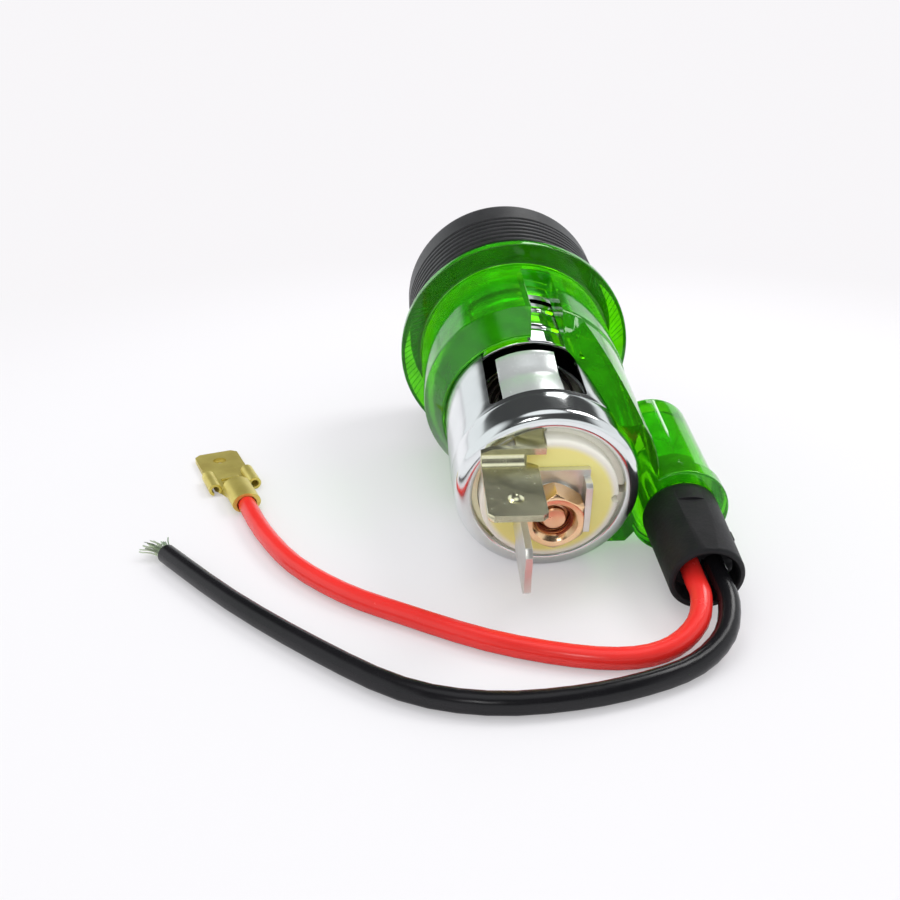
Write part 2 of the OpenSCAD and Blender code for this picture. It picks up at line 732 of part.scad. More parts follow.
// Half section of the lighter's can: front rim, wall with two rolled grooves and rear edge
module can_section() {
    groove_z = [7.4, 12.9];
    difference() {
        union() {
            translate([can_in_r, rim_z1 - eps]) square([can_wall, can_depth - rim_z1 + eps]);
            translate([can_in_r, rim_z0]) square([can_rim_d / 2 - can_in_r, rim_t]);
        }
        for (z = groove_z) translate([can_r + 0.25, z]) circle(r = 0.5, $fn = mid);
    }
}

module plug_can() {
    color("whitesmoke") laid() rotate_extrude($fn = fine) can_section();
}

module guide_bush() {
    neck_r = 4.4;
    color("dimgray") laid() {
        washer(can_in_r - slip_gap, shaft_r + run_gap, bush_z0, bush_z0 + bush_t);
        washer(neck_r, shaft_r + run_gap, bush_z0 + bush_t - eps, bush_z0 + bush_t + 1.6);
    }
}

// Coil of round wire as stacked rings joined by a thin sleeve
module return_spring() {
    pitch = (spring_z1 - spring_z0 - spring_wire) / spring_turns;
    color("silver") laid() rotate_extrude($fn = fine) {
        for (k = [0 : spring_turns]) translate([spring_r, spring_z0 + spring_wire / 2 + k * pitch])
            circle(d = spring_wire, $fn = 16);
        translate([spring_r - 0.1, spring_z0 + spring_wire / 2])
            square([0.2, spring_z1 - spring_z0 - spring_wire]);
    }
}

// Half section of the knob: ribbed skirt, rounded front edge, insert seat and inner pocket
module knob_section() {
    first_groove = knob_back - 1.2;
    difference() {
        union() {
            translate([0, knob_front]) square([knob_r - knob_round, knob_h]);
            translate([0, knob_front + knob_round]) square([knob_r, knob_h - knob_round]);
            translate([knob_r - knob_round, knob_front + knob_round]) circle(r = knob_round, $fn = fine);
        }
        translate([-eps, knob_front - 1]) square([insert_r + slip_gap, insert_t + 1]);
        translate([-eps, knob_floor]) square([can_rim_d / 2 + move_gap, knob_pocket + 1]);
        for (k = [0 : groove_count - 1]) translate([knob_r, first_groove - k * groove_pitch])
            polygon([[-groove_depth, 0.1], [1, 0.9], [1, -0.9], [-groove_depth, -0.1]]);
    }
}

module knob() {
    color("dimgray") laid() difference() {
        rotate_extrude($fn = fine) knob_section();
        translate([0, 0, knob_floor - 4]) cylinder(h = cut, r = shaft_r + seat_gap, $fn = mid);
    }
}

module knob_insert() {
    color("black") laid() difference() {
        translate([0, 0, knob_front + 0.15]) cylinder(h = insert_t - 0.15 - seat_gap, r = insert_r, $fn = fine);
        translate([0, 0, knob_front - 6.4]) sphere(r = 6.8, $fn = fine);
    }
}

module plunger_shaft() {
    foot_h = 0.5;
    color("silver") laid() {
        translate([0, 0, knob_floor - 4 + seat_gap])
            cylinder(h = cup_z0 + cup_wall + 0.8 + 4 - knob_floor, r = shaft_r, $fn = mid);
        translate([0, 0, cup_z0 - foot_h - seat_gap]) cylinder(h = foot_h, r = collar_r, $fn = mid);
    }
}

module retaining_ring() {
    color("gainsboro") laid() washer(collar_r, shaft_r + seat_gap, knob_floor + seat_gap, knob_floor + 0.5);
}

module heater_cup() {
    color("silver") laid() difference() {
        translate([0, 0, cup_z0]) cylinder(h = cup_depth, r = cup_r, $fn = fine);
        translate([0, 0, cup_z0 + cup_wall]) cylinder(h = cut, r = cup_r - cup_wall, $fn = fine);
        translate([0, 0, cup_z0 - eps]) cylinder(h = cut, r = shaft_r + seat_gap, $fn = mid);
    }
}

module heater_insulator() {
    color("linen") laid() washer(cup_r - cup_wall - slip_gap, shaft_r + seat_gap,
        cup_z0 + cup_wall + seat_gap, cup_z0 + cup_wall + heater_disc_h);
}

// Flat ribbon wound in a spiral
module heater_coil() {
    end_r = cup_r - cup_wall - 0.5;
    per_turn = 24;
    steps = coil_turns * per_turn;
    coil_z0 = cup_z0 + cup_wall + heater_disc_h + seat_gap;
    function arm(k, add) = let (turn = 360 * k / per_turn, r = ribbon_start_r + (end_r - ribbon_start_r) * k / steps + add)
        r * [cos(turn), sin(turn)];
    color("orangered") laid() translate([0, 0, coil_z0]) linear_extrude(ribbon_h) polygon(concat(
        [for (k = [0 : steps]) arm(k, 0)], [for (k = [steps : -1 : 0]) arm(k, ribbon_t)]));
}

socket_shell();
light_ring();
rear_insulator();
clip_washer();
bimetal_clip();
centre_stud();
spring_washer();
terminal_nut();
feed_terminal();
ground_terminal();
lamp_holder();
lamp_bulb();
lamp_contact_feed();
lamp_contact_ground();
red_wire();
male_terminal();
black_wire();
bare_strands();
plug_can();
guide_bush();
return_spring();
knob();
knob_insert();
plunger_shaft();
retaining_ring();
heater_insulator();
heater_cup();
heater_coil();
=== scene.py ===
"""Looks of a car's 12 V socket with its lit ring, lamp, two wires and pop-out lighter.

Most pieces are drawn in the socket's own frame in millimetres: z runs from the
panel seat to the rear terminals, y is up and x is to the right. One matrix lays
them on the floor in the part's frame, in metres.
"""

from __future__ import annotations

import logging
import math
from dataclasses import dataclass, field
from enum import Enum
from typing import Callable, ClassVar, Sequence

import bmesh
import bpy
from bmesh.types import BMesh
from bpy.types import ID, Material, Node, NodeSocket, NodeTree, Object, World
from mathutils import Matrix, Vector

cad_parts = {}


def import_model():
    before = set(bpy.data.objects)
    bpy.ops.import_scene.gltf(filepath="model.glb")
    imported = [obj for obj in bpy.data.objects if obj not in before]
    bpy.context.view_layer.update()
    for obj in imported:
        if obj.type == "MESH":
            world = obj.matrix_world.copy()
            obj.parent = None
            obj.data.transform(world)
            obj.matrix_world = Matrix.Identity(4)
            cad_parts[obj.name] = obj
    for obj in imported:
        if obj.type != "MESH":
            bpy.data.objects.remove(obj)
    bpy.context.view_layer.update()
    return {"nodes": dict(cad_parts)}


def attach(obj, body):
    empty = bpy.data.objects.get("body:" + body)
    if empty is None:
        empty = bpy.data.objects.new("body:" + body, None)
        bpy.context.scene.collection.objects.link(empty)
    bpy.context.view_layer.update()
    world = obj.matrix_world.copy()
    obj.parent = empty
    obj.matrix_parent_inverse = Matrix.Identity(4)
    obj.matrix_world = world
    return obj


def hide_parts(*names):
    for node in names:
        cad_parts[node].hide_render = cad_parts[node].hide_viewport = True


LOG = logging.getLogger("power_socket")
MM = 0.001
BUMP_UNIT = 0.0001
LEAST_ROUGHNESS = 0.02
SHARP_ANGLE = 32.0
ON_AXIS = 1e-6
Point2 = tuple[float, float]
Point3 = tuple[float, float, float]
Colour = Point3
Route = list[Point3]
Sockets = bpy.types.bpy_prop_collection
Recipe = Callable[["Graph", Sockets], NodeSocket]


class Body(Enum):
    """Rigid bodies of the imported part."""

    SOCKET = "socket"
    LIGHTER = "lighter"
    PLUNGER = "plunger"


class Weathering(Enum):
    """Kinds of surface pattern a finish can carry."""

    GRAIN = "grain"
    SCUFFED = "scuffed"
    DRAWN = "drawn"
    CLOUDED = "clouded"


@dataclass(frozen=True)
class Lay:
    """Where the socket lies in the part's frame."""

    tilt: float = math.radians(9.090581699811212)
    axis_height: float = 16.391500538710126
    mid_x: float = 3.0
    mid_y: float = -12.58859120171252

    def matrix(self) -> Matrix:
        """Return the matrix from socket millimetres to part metres."""
        shift = Matrix.Translation((-self.mid_x * MM, -self.mid_y * MM, self.axis_height * MM))
        turn = Matrix.Rotation(math.pi / 2 + self.tilt, 4, "X")
        return shift @ turn @ Matrix.Scale(MM, 4)

    def point(self, x: float, y: float, z: float) -> Vector:
        """Return a socket point in the part's frame, in metres."""
        return self.matrix() @ Vector((x, y, z))


LAY = Lay()


@dataclass(frozen=True)
class Finish:
    """A procedural finish: its colour, its shine and the pattern that breaks it up.

    Attributes:
        name: Name of the material.
        slot: Name of the material slot that it is meant for, which nothing here reads.
        colour: Main colour, linear.
        tint: Second colour that the pattern mixes in.
        metallic: Metal share, from 0 to 1.
        roughness: Middle roughness.
        rough_spread: How far the pattern moves the roughness.
        scale: Pattern size in cycles a metre.
        stretch: Stretch of the pattern along x, y and z.
        bump: Bump height as a share of a tenth of a millimetre.
        pattern: Which pattern is used.
        transmission: Share of light let through.
        ior: Index of refraction.
        subsurface: Share of light scattered below the surface.
        rim: Where a pale rim of painted highlight starts and is whole, as distances from the axis in
            millimetres.
        rim_highlight_colour: Colour of that rim.
        let_through: Tint of the light that each surface of a clear piece lets through.
    """

    name: str
    slot: str
    colour: Colour
    tint: Colour
    metallic: float = 0.0
    roughness: float = 0.4
    rough_spread: float = 0.1
    scale: float = 400.0
    stretch: tuple[float, float, float] = (1.0, 1.0, 1.0)
    bump: float = 0.2
    pattern: Weathering = Weathering.GRAIN
    transmission: float = 0.0
    ior: float = 1.5
    subsurface: float = 0.0
    rim: Point2 | None = None
    rim_highlight_colour: Colour = (0.9, 0.88, 0.78)
    let_through: Colour | None = None


class Graph:
    """Adds nodes to a node tree and feeds them as they come."""

    def __init__(self, tree: NodeTree) -> None:
        """Keep the tree.

        Args:
            tree: The tree that grows.
        """
        self.tree = tree

    @classmethod
    def fresh(cls, owner: Material | World) -> Graph:
        """Empty the owner's node tree.

        Args:
            owner: The material or world.

        Returns:
            A graph on its tree.
        """
        owner.use_nodes = True
        owner.node_tree.nodes.clear()
        return cls(owner.node_tree)

    def add(self, kind: str, inputs: dict[str | int, object] | None = None, **settings: object) -> Node:
        """Add one node.

        Args:
            kind: Its type.
            inputs: What its inputs take: a plain value, or the output that feeds them.
            settings: Its other properties, which are set first.

        Returns:
            The node.
        """
        node = self.tree.nodes.new(kind)
        for name, value in settings.items():
            setattr(node, name, value)
        for socket, value in (inputs or {}).items():
            if isinstance(value, NodeSocket):
                self.tree.links.new(value, node.inputs[socket])
            else:
                node.inputs[socket].default_value = value
        return node

    def math(self, operation: str, *inputs: object) -> NodeSocket:
        """Add a maths node.

        Args:
            operation: What it does.
            inputs: Its inputs, in order.

        Returns:
            Its result.
        """
        return self.add("ShaderNodeMath", dict(enumerate(inputs)), operation=operation).outputs["Value"]

    def vector(self, operation: str, *inputs: object, out: str = "Vector") -> NodeSocket:
        """Add a vector maths node.

        Args:
            operation: What it does.
            inputs: Its inputs, in order.
            out: Name of the result, which is "Value" for a plain number.

        Returns:
            Its result.
        """
        return self.add("ShaderNodeVectorMath", dict(enumerate(inputs)), operation=operation).outputs[out]

    def smooth(self, value: NodeSocket, start: float, end: float, low: float = 0.0,
               high: float = 1.0) -> NodeSocket:
        """Add a smooth step.

        Args:
            value: What it follows.
            start: Where it starts.
            end: Where it ends.
            low: Its result before the start.
            high: Its result after the end.

        Returns:
            Its result.
        """
        return self.add("ShaderNodeMapRange", {
            "Value": value, "From Min": start, "From Max": end, "To Min": low, "To Max": high},
            interpolation_type="SMOOTHSTEP").outputs["Result"]

    def blend(self, share: NodeSocket, first: NodeSocket | Colour, second: NodeSocket | Colour) -> NodeSocket:
        """Add a mix of two colours.

        Args:
            share: Share of the second one.
            first: The first colour.
            second: The second colour.

        Returns:
            The mixed colour.
        """
        first, second = ((*end, 1.0) if isinstance(end, tuple) else end for end in (first, second))
        return self.add("ShaderNodeMix", {"Factor": share, "A": first, "B": second},
                        data_type="RGBA").outputs["Result"]

    def choose(self, share: NodeSocket, first: NodeSocket, second: NodeSocket) -> NodeSocket:
        """Add a mix of two shaders.

        Args:
            share: Share of the second one.
            first: The first shader.
            second: The second shader.

        Returns:
            The mixed shader.
        """
        return self.add("ShaderNodeMixShader", {"Fac": share, 1: first, 2: second}).outputs["Shader"]


class PatternGroups:
    """Shader node groups that the finishes share: each mixes a coarse and a fine noise."""

    SCALES = {
        Weathering.GRAIN: (0.35, 3.0),
        Weathering.SCUFFED: (0.4, 2.2),
        Weathering.DRAWN: (0.3, 4.0),
        Weathering.CLOUDED: (0.25, 1.6),
    }
    DETAILS = (4.0, 3.0)

    def __init__(self) -> None:
        """Start with no group built."""
        self._built: dict[Weathering, NodeTree] = {}

    def get(self, kind: Weathering) -> NodeTree:
        """Return the group of a pattern, built once.

        Args:
            kind: The pattern.

        Returns:
            The node group, with outputs Mix, Rough and Height.
        """
        if kind not in self._built:
            self._built[kind] = self._build(kind)
        return self._built[kind]

    def _build(self, kind: Weathering) -> NodeTree:
        """Build the node group of one pattern.

        Args:
            kind: The pattern.

        Returns:
            The new node group.
        """
        tree = bpy.data.node_groups.new(f"pattern_{kind.value}", "ShaderNodeTree")
        tree.interface.new_socket("Vector", in_out="INPUT", socket_type="NodeSocketVector")
        for label in ("Mix", "Rough", "Height"):
            tree.interface.new_socket(label, in_out="OUTPUT", socket_type="NodeSocketFloat")
        graph = Graph(tree)
        at = graph.add("NodeGroupInput").outputs["Vector"]
        coarse, fine = (
            graph.add("ShaderNodeTexNoise", {"Vector": at, "Scale": scale, "Detail": detail}).outputs["Fac"]
            for scale, detail in zip(self.SCALES[kind], self.DETAILS))
        spread = graph.add("ShaderNodeMapRange", {"Value": coarse, "From Min": 0.35, "From Max": 0.68})
        height = graph.math("MULTIPLY_ADD", fine, 0.6, coarse)
        graph.add("NodeGroupOutput", {"Mix": spread.outputs["Result"], "Rough": fine, "Height": height})
        return tree


class FinishShop:
    """Builds and keeps the material of each finish."""

    def __init__(self) -> None:
        """Start with no material built."""
        self._groups = PatternGroups()
        self._made: dict[str, Material] = {}

    def get(self, finish: Finish) -> Material:
        """Return the material of a finish, built once.

        Args:
            finish: The finish.

        Returns:
            Its material.
        """
        if finish.name not in self._made:
            self._made[finish.name] = self._build(finish)
        return self._made[finish.name]

    def _build(self, finish: Finish) -> Material:
        """Build one material.

        Args:
            finish: The finish.

        Returns:
            The new material.
        """
        material = bpy.data.materials.new(finish.name)
        graph = Graph.fresh(material)
        at = graph.add("ShaderNodeTexCoord").outputs["Object"]
        size = tuple(finish.scale * k for k in finish.stretch)
        place = graph.add("ShaderNodeMapping", {"Vector": at, "Scale": size})
        pattern = graph.add("ShaderNodeGroup", {"Vector": place.outputs["Vector"]},
                            node_tree=self._groups.get(finish.pattern))
        colour = graph.blend(pattern.outputs["Mix"], finish.colour, finish.tint)
        # Painted highlight: a pale rim, where a finish has one.
        if finish.rim is not None:
            colour = self._paint_rim_highlight(graph, finish, at, colour)
        rough = graph.add("ShaderNodeMapRange", {
            "Value": pattern.outputs["Rough"],
            "To Min": max(LEAST_ROUGHNESS, finish.roughness - finish.rough_spread),
            "To Max": min(1.0, finish.roughness + finish.rough_spread)})
        bump = graph.add("ShaderNodeBump", {
            "Height": pattern.outputs["Height"], "Strength": 1.0, "Distance": finish.bump * BUMP_UNIT})
        surface = graph.add("ShaderNodeBsdfPrincipled", {
            "Base Color": colour, "Roughness": rough.outputs["Result"], "Normal": bump.outputs["Normal"],
            "Metallic": finish.metallic, "IOR": finish.ior, "Transmission Weight": finish.transmission,
            "Subsurface Weight": finish.subsurface, "Subsurface Scale": MM}).outputs["BSDF"]
        if finish.let_through is not None:
            clear = graph.add("ShaderNodeBsdfTransparent", {"Color": (*finish.let_through, 1.0)})
            shadow = graph.add("ShaderNodeLightPath").outputs["Is Shadow Ray"]
            surface = graph.choose(shadow, surface, clear.outputs["BSDF"])
        graph.add("ShaderNodeOutputMaterial", {"Surface": surface})
        return material

    @staticmethod
    def _paint_rim_highlight(graph: Graph, finish: Finish, at: NodeSocket, colour: NodeSocket) -> NodeSocket:
        """Mix in the rim's painted highlight by the distance from the socket's axis.

        Args:
            graph: The material's graph.
            finish: The finish.
            at: The place on the piece.
            colour: The colour inside the rim.

        Returns:
            The mixed colour.
        """
        middle = LAY.point(0, 0, 0)
        along = (LAY.point(0, 0, 1) - middle).normalized()
        across = graph.vector("CROSS_PRODUCT", graph.vector("SUBTRACT", at, middle), along)
        start, end = finish.rim
        band = graph.smooth(graph.vector("LENGTH", across, out="Value"), start * MM, end * MM)
        return graph.blend(band, colour, finish.rim_highlight_colour)


class Palette:
    """The finishes of this socket."""

    SHELL = Finish("shell_bright_plate", "plated_steel", (0.82, 0.84, 0.84), (0.72, 0.75, 0.75),
        metallic=1.0, roughness=0.13, rough_spread=0.05, scale=300, bump=0.05, pattern=Weathering.SCUFFED)
    GREEN = Finish("ring_green_plastic", "green_translucent", (0.13, 0.78, 0.002), (0.08, 0.50, 0.0015),
        roughness=0.06, rough_spread=0.04, scale=1300, bump=0.1, pattern=Weathering.CLOUDED,
        transmission=0.88, ior=1.46, let_through=(0.42, 0.95, 0.30))
    # The seam's near-white colour is a painted highlight along the lamp tube's ridge.
    SEAM = Finish("ring_seam_painted_highlight", "green_translucent", (0.86, 1.0, 0.84), (0.70, 0.95, 0.66),
        roughness=0.35, scale=1300)
    # The board's pale rim is a painted highlight on its rounded edge and side wall.
    CREAM = Finish("insulator_yellow_board", "cream_insulator", (0.98, 0.91, 0.33), (0.95, 0.86, 0.27),
        roughness=0.6, scale=500, bump=0.5, rim=(6.9, 7.7), rim_highlight_colour=(0.93, 0.91, 0.80))
    STRIP = Finish("clip_rolled_strip", "spring_strip", (0.95, 0.97, 0.97), (0.90, 0.93, 0.92),
        metallic=0.6, roughness=0.24, rough_spread=0.08, scale=500, stretch=(4.0, 0.3, 4.0), bump=0.1,
        pattern=Weathering.DRAWN)
    COPPER = Finish("nut_copper_plate", "copper_plated", (0.93, 0.66, 0.42), (0.84, 0.52, 0.27),
        metallic=1.0, roughness=0.22, rough_spread=0.08, scale=700, bump=0.15, pattern=Weathering.SCUFFED)
    STUD = Finish("stud_copper_wash", "copper_plated", (0.92, 0.60, 0.40), (0.84, 0.48, 0.27), metallic=1.0,
        roughness=0.3, rough_spread=0.08, scale=700, bump=0.15)
    # The nut's inner thread is painted dark as shade in the nut's bore.
    THREAD_SHADE = Finish("thread_copper_painted_shade", "copper_plated", (0.32, 0.09, 0.05), (0.22, 0.06, 0.03),
        metallic=1.0, roughness=0.35, rough_spread=0.08, scale=900, bump=0.1)
    GROUND = Finish("ground_nickel_plate", "tinned_steel", (0.88, 0.86, 0.60), (0.78, 0.76, 0.52),
        metallic=1.0, roughness=0.25, rough_spread=0.06, scale=500, bump=0.03, pattern=Weathering.SCUFFED)
    TINNED = Finish("blade_tinned_steel", "tinned_steel", (0.82, 0.82, 0.78), (0.70, 0.69, 0.64),
        metallic=0.8, roughness=0.32, scale=600, bump=0.12, pattern=Weathering.SCUFFED)
    HOLDER = Finish("holder_black_moulding", "black_plastic", (0.008, 0.008, 0.009), (0.014, 0.013, 0.015),
        roughness=0.52, scale=900, bump=0.35, ior=1.34)
    GLASS = Finish("bulb_clear_glass", "bulb_glass", (0.96, 0.98, 1.0), (0.92, 0.95, 0.98), roughness=0.03,
        rough_spread=0.01, scale=100, bump=0.02, pattern=Weathering.CLOUDED, transmission=1.0, ior=1.45,
        let_through=(0.96, 0.97, 0.98))
    BRASS = Finish("terminal_stamped_brass", "brass", (0.78, 0.66, 0.16), (0.62, 0.50, 0.10), metallic=0.65,
        roughness=0.34, rough_spread=0.08, scale=700, bump=0.05, pattern=Weathering.SCUFFED)
    RED = Finish("wire_red_jacket", "red_insulation", (0.92, 0.034, 0.028), (0.86, 0.026, 0.02),
        roughness=0.24, rough_spread=0.08, scale=500, bump=0.12, pattern=Weathering.CLOUDED, subsurface=0.1)
    BLACK = Finish("wire_black_jacket", "black_insulation", (0.006, 0.006, 0.007), (0.011, 0.010, 0.012),
        roughness=0.24, rough_spread=0.08, scale=500, bump=0.12, pattern=Weathering.CLOUDED, ior=1.38)
    STRAND = Finish("strand_tinned_copper", "tinned_copper", (0.62, 0.66, 0.50), (0.36, 0.52, 0.34),
        metallic=1.0, roughness=0.3, scale=900, bump=0.1)
    CHROME = Finish("can_bright_chrome", "bright_chrome", (0.80, 0.81, 0.82), (0.72, 0.73, 0.74),
        metallic=1.0, roughness=0.08, rough_spread=0.04, scale=300, bump=0.04, pattern=Weathering.SCUFFED)
    WIRE = Finish("spring_drawn_wire", "spring_wire", (0.50, 0.50, 0.51), (0.38, 0.38, 0.39), metallic=1.0,
        roughness=0.3, scale=900, bump=0.1, pattern=Weathering.DRAWN)
    KNOB = Finish("knob_black_moulding", "knob_plastic", (0.018, 0.018, 0.019), (0.028, 0.028, 0.030),
        roughness=0.45, rough_spread=0.08, scale=900)
    FACE = Finish("knob_face_fine_grain", "knob_face", (0.014, 0.014, 0.015), (0.026, 0.026, 0.028),
        roughness=0.45, scale=1600, bump=0.5)
    CERAMIC = Finish("heater_ceramic", "ceramic", (0.80, 0.77, 0.70), (0.70, 0.66, 0.58), roughness=0.7,
        scale=700, bump=0.4)
    RIBBON = Finish("heater_oxidised_ribbon", "heater_ribbon", (0.26, 0.20, 0.18), (0.16, 0.14, 0.15),
        metallic=1.0, roughness=0.45, rough_spread=0.12, scale=900, pattern=Weathering.DRAWN)


NODE_FINISH: dict[str, Finish] = {
    "socket_shell": Palette.SHELL,
    "light_ring": Palette.GREEN,
    "rear_insulator": Palette.CREAM,
    "clip_washer": Palette.SHELL,
    "bimetal_clip": Palette.STRIP,
    "centre_stud": Palette.COPPER,
    "spring_washer": Palette.TINNED,
    "terminal_nut": Palette.COPPER,
    "feed_terminal": Palette.TINNED,
    "ground_terminal": Palette.TINNED,
    "lamp_holder": Palette.HOLDER,
    "lamp_bulb": Palette.GLASS,
    "lamp_contact_feed": Palette.BRASS,
    "lamp_contact_ground": Palette.BRASS,
    "red_wire": Palette.RED,
    "male_terminal": Palette.BRASS,
    "black_wire": Palette.BLACK,
    "bare_strands": Palette.STRAND,
    "plug_can": Palette.CHROME,
    "guide_bush": Palette.HOLDER,
    "return_spring": Palette.WIRE,
    "knob": Palette.KNOB,
    "knob_insert": Palette.FACE,
    "plunger_shaft": Palette.WIRE,
    "retaining_ring": Palette.WIRE,
    "heater_insulator": Palette.CERAMIC,
    "heater_cup": Palette.CHROME,
    "heater_coil": Palette.RIBBON,
}


def new_object(name: str, data: ID) -> Object:
    """Link a new object at the origin.

    Args:
        name: Its name.
        data: Its mesh, curve, camera or lamp.

    Returns:
        The new object.
    """
    obj = bpy.data.objects.new(name, data)
    bpy.context.scene.collection.objects.link(obj)
    return obj


@dataclass
class Studio:
    """Floor, backdrop, lights and camera, in metres.

    Attributes:
        camera_at: Where the camera stands.
        right: Direction of the picture's right edge.
        down: Direction of its lower edge.
        forward: Where the camera looks.
        lens: Focal length in millimetres.
        sensor: Width of its sensor in millimetres.
        clip: Nearest and furthest distance that it sees.
        floor_half: Half the floor's side.
        floor_colour: Colour of its paper.
        backdrop: Colour of what lies behind the part.
        soft_colour: Colour of the light from all round.
        room_colour: Colour of what shiny surfaces mirror.
        fade: Where the paper starts to fade into the backdrop and where it has.
        paper_glow: Share of the backdrop in the paper near the part.
        lit_at: What the lamps point at.
        ambient: Strength of the light from all round.
        room_dark: Strength of the mirrored room between its cards.
        cards: Bright cards of that room: axis, start, end and strength.
        lamps: Name, place, side, watts and whether shiny surfaces mirror it.
    """

    camera_at: Point3 = (-0.02021449, -0.12732414, 0.06197068)
    right: Point3 = (0.9984601, -0.0554718, -0.0005541)
    down: Point3 = (-0.0226963, -0.3993642, -0.9165114)
    forward: Point3 = (0.0506193, 0.9151126, -0.4000082)
    lens: float = 40.0
    sensor: float = 36.0
    clip: Point2 = (0.005, 20.0)
    floor_half: float = 6.0
    floor_colour: Colour = (0.835, 0.825, 0.84)
    backdrop: Colour = (0.94, 0.925, 0.945)
    soft_colour: Colour = (0.97, 0.98, 1.0)
    room_colour: Colour = (0.95, 0.98, 1.0)
    fade: Point2 = (0.07, 0.16)
    paper_glow: float = 0.35
    lit_at: Point3 = (0.0, 0.0, 0.01)
    ambient: float = 0.82
    room_dark: float = 0.06
    cards: tuple[tuple[str, float, float, float], ...] = (
        ("Z", 0.33, 0.26, 0.92), ("Z", 0.9, 0.96, 1.0), ("X", -0.5, -0.75, 0.95), ("X", 0.62, 0.82, 0.85))
    lamps: tuple[tuple[str, Point3, float, float, bool], ...] = (
        ("main_lamp", (0.30, 0.16, 0.42), 0.2, 0.85, True),
        ("top_lamp", (-0.10, 0.10, 0.55), 0.3, 0.6, False),
        ("back_lamp", (0.12, 0.42, 0.30), 0.11, 0.12, True),
        ("front_lamp", (-0.12, -0.5, 0.4), 0.12, 0.3, True))

    def build(self) -> None:
        """Build everything of the studio."""
        self._camera()
        self._floor()
        self._world()
        self._lights()

    def _camera(self) -> None:
        """Set the camera where the photograph was taken from."""
        data = bpy.data.cameras.new("photo_camera")
        data.lens = self.lens
        data.sensor_width = self.sensor
        data.clip_start, data.clip_end = self.clip
        cam = new_object("photo_camera", data)
        x, y, z = Vector(self.right), -Vector(self.down), -Vector(self.forward)
        turn = Matrix((x, y, z)).transposed().to_4x4()
        cam.matrix_world = Matrix.Translation(self.camera_at) @ turn
        bpy.context.scene.camera = cam

    def _floor(self) -> None:
        """Make the pale floor, which fades into the white background away from the part."""
        mesh = bpy.data.meshes.new("floor")
        half = self.floor_half
        corners = [(-half, -half, 0), (half, -half, 0), (half, half, 0), (-half, half, 0)]
        mesh.from_pydata(corners, [], [(0, 1, 2, 3)])
        material = bpy.data.materials.new("floor_paper")
        graph = Graph.fresh(material)
        place = graph.add("ShaderNodeNewGeometry").outputs["Position"]
        fade = graph.smooth(graph.vector("LENGTH", place, out="Value"), *self.fade, self.paper_glow)
        seen = graph.add("ShaderNodeLightPath").outputs["Is Camera Ray"]
        paper = graph.add("ShaderNodeBsdfDiffuse", {"Color": (*self.floor_colour, 1.0)})
        glow = graph.add("ShaderNodeEmission", {"Color": (*self.backdrop, 1.0)})
        surface = graph.choose(graph.math("MULTIPLY", fade, seen), paper.outputs["BSDF"],
                               glow.outputs["Emission"])
        graph.add("ShaderNodeOutputMaterial", {"Surface": surface})
        mesh.materials.append(material)
        new_object("floor", mesh)

    def _world(self) -> None:
        """Light the scene: plain white for the camera, a room with white cards for reflections."""
        world = bpy.data.worlds.new("studio")
        bpy.context.scene.world = world
        graph = Graph.fresh(world)
        way = graph.add("ShaderNodeTexCoord").outputs["Generated"]
        parts = graph.add("ShaderNodeSeparateXYZ", {"Vector": way}).outputs
        cards = [graph.smooth(parts[axis], start, end, high=top) for axis, start, end, top in self.cards]
        brightest = cards[0]
        for card in cards[1:]:
            brightest = graph.math("MAXIMUM", brightest, card)
        room_light = graph.math("ADD", brightest, self.room_dark)
        soft, room, plain = (
            graph.add("ShaderNodeBackground", {
                "Color": (*colour, 1.0), "Strength": strength}).outputs["Background"]
            for colour, strength in ((self.soft_colour, self.ambient), (self.room_colour, room_light),
                                     (self.backdrop, 1.0)))
        path = graph.add("ShaderNodeLightPath").outputs
        shiny = graph.choose(path["Is Glossy Ray"], soft, room)
        seen = graph.math("MAXIMUM", path["Is Camera Ray"], path["Is Transmission Ray"])
        graph.add("ShaderNodeOutputWorld", {"Surface": graph.choose(seen, shiny, plain)})

    def _lights(self) -> None:
        """Place the soft square lamps, which all point at the part."""
        for name, at, size, watts, mirrored in self.lamps:
            data = bpy.data.lights.new(name, "AREA")
            data.shape = "SQUARE"
            data.size = size
            data.energy = watts
            lamp = new_object(name, data)
            lamp.location = at
            lamp.rotation_euler = (Vector(self.lit_at) - Vector(at)).to_track_quat("-Z", "Y").to_euler()
            lamp.visible_glossy = mirrored


@dataclass(frozen=True)
class Measures:
    """Sizes shared by the pieces, in socket millimetres, the same as in the solids."""

    bore_r: float = 10.5
    shell_r: float = 11.1
    ring_bore_r: float = 11.2
    sleeve_r: float = 13.7
    tongue_r: float = 13.5
    ring_end: float = 34.6
    tube_r: float = 5.5
    lamp_x: float = 16.6
    lamp_y: float = -4.6
    disc_front: float = 33.6
    stud_hole_r: float = 2.05
    shaft_hole_r: float = 1.52
    sheet: float = 0.8
    contact_x: float = 2.85
    filament_x: float = 1.2
    thread_pitch: float = 0.62
    window_turn: float = -5.5
    dimple_turn: float = 37.0
    dimple_z: float = 20.2

    @property
    def lamp(self) -> Point2:
        """Where the axis of the lamp tube is."""
        return self.lamp_x, self.lamp_y


M = Measures()


def arc(cx: float, cy: float, r: float, start: float, end: float, count: int) -> list[Point2]:
    """Return points on a circular arc.

    Args:
        cx: Centre's first coordinate.
        cy: Centre's second coordinate.
        r: Radius.
        start: Start angle in degrees.
        end: End angle in degrees.
        count: Number of points, both ends among them.

    Returns:
        The points.
    """
    turns = [math.radians(start + (end - start) * k / (count - 1)) for k in range(count)]
    return [(cx + r * math.cos(t), cy + r * math.sin(t)) for t in turns]


def column(r: float, z: float, step: float, numbers: range) -> list[Point2]:
    """Return evenly spaced points at one distance from the axis.

    Args:
        r: That distance.
        z: Where the point with number 0 is, or would be.
        step: From one point to the next.
        numbers: The points' numbers.

    Returns:
        The points.
    """
    return [(r, z + step * k) for k in numbers]


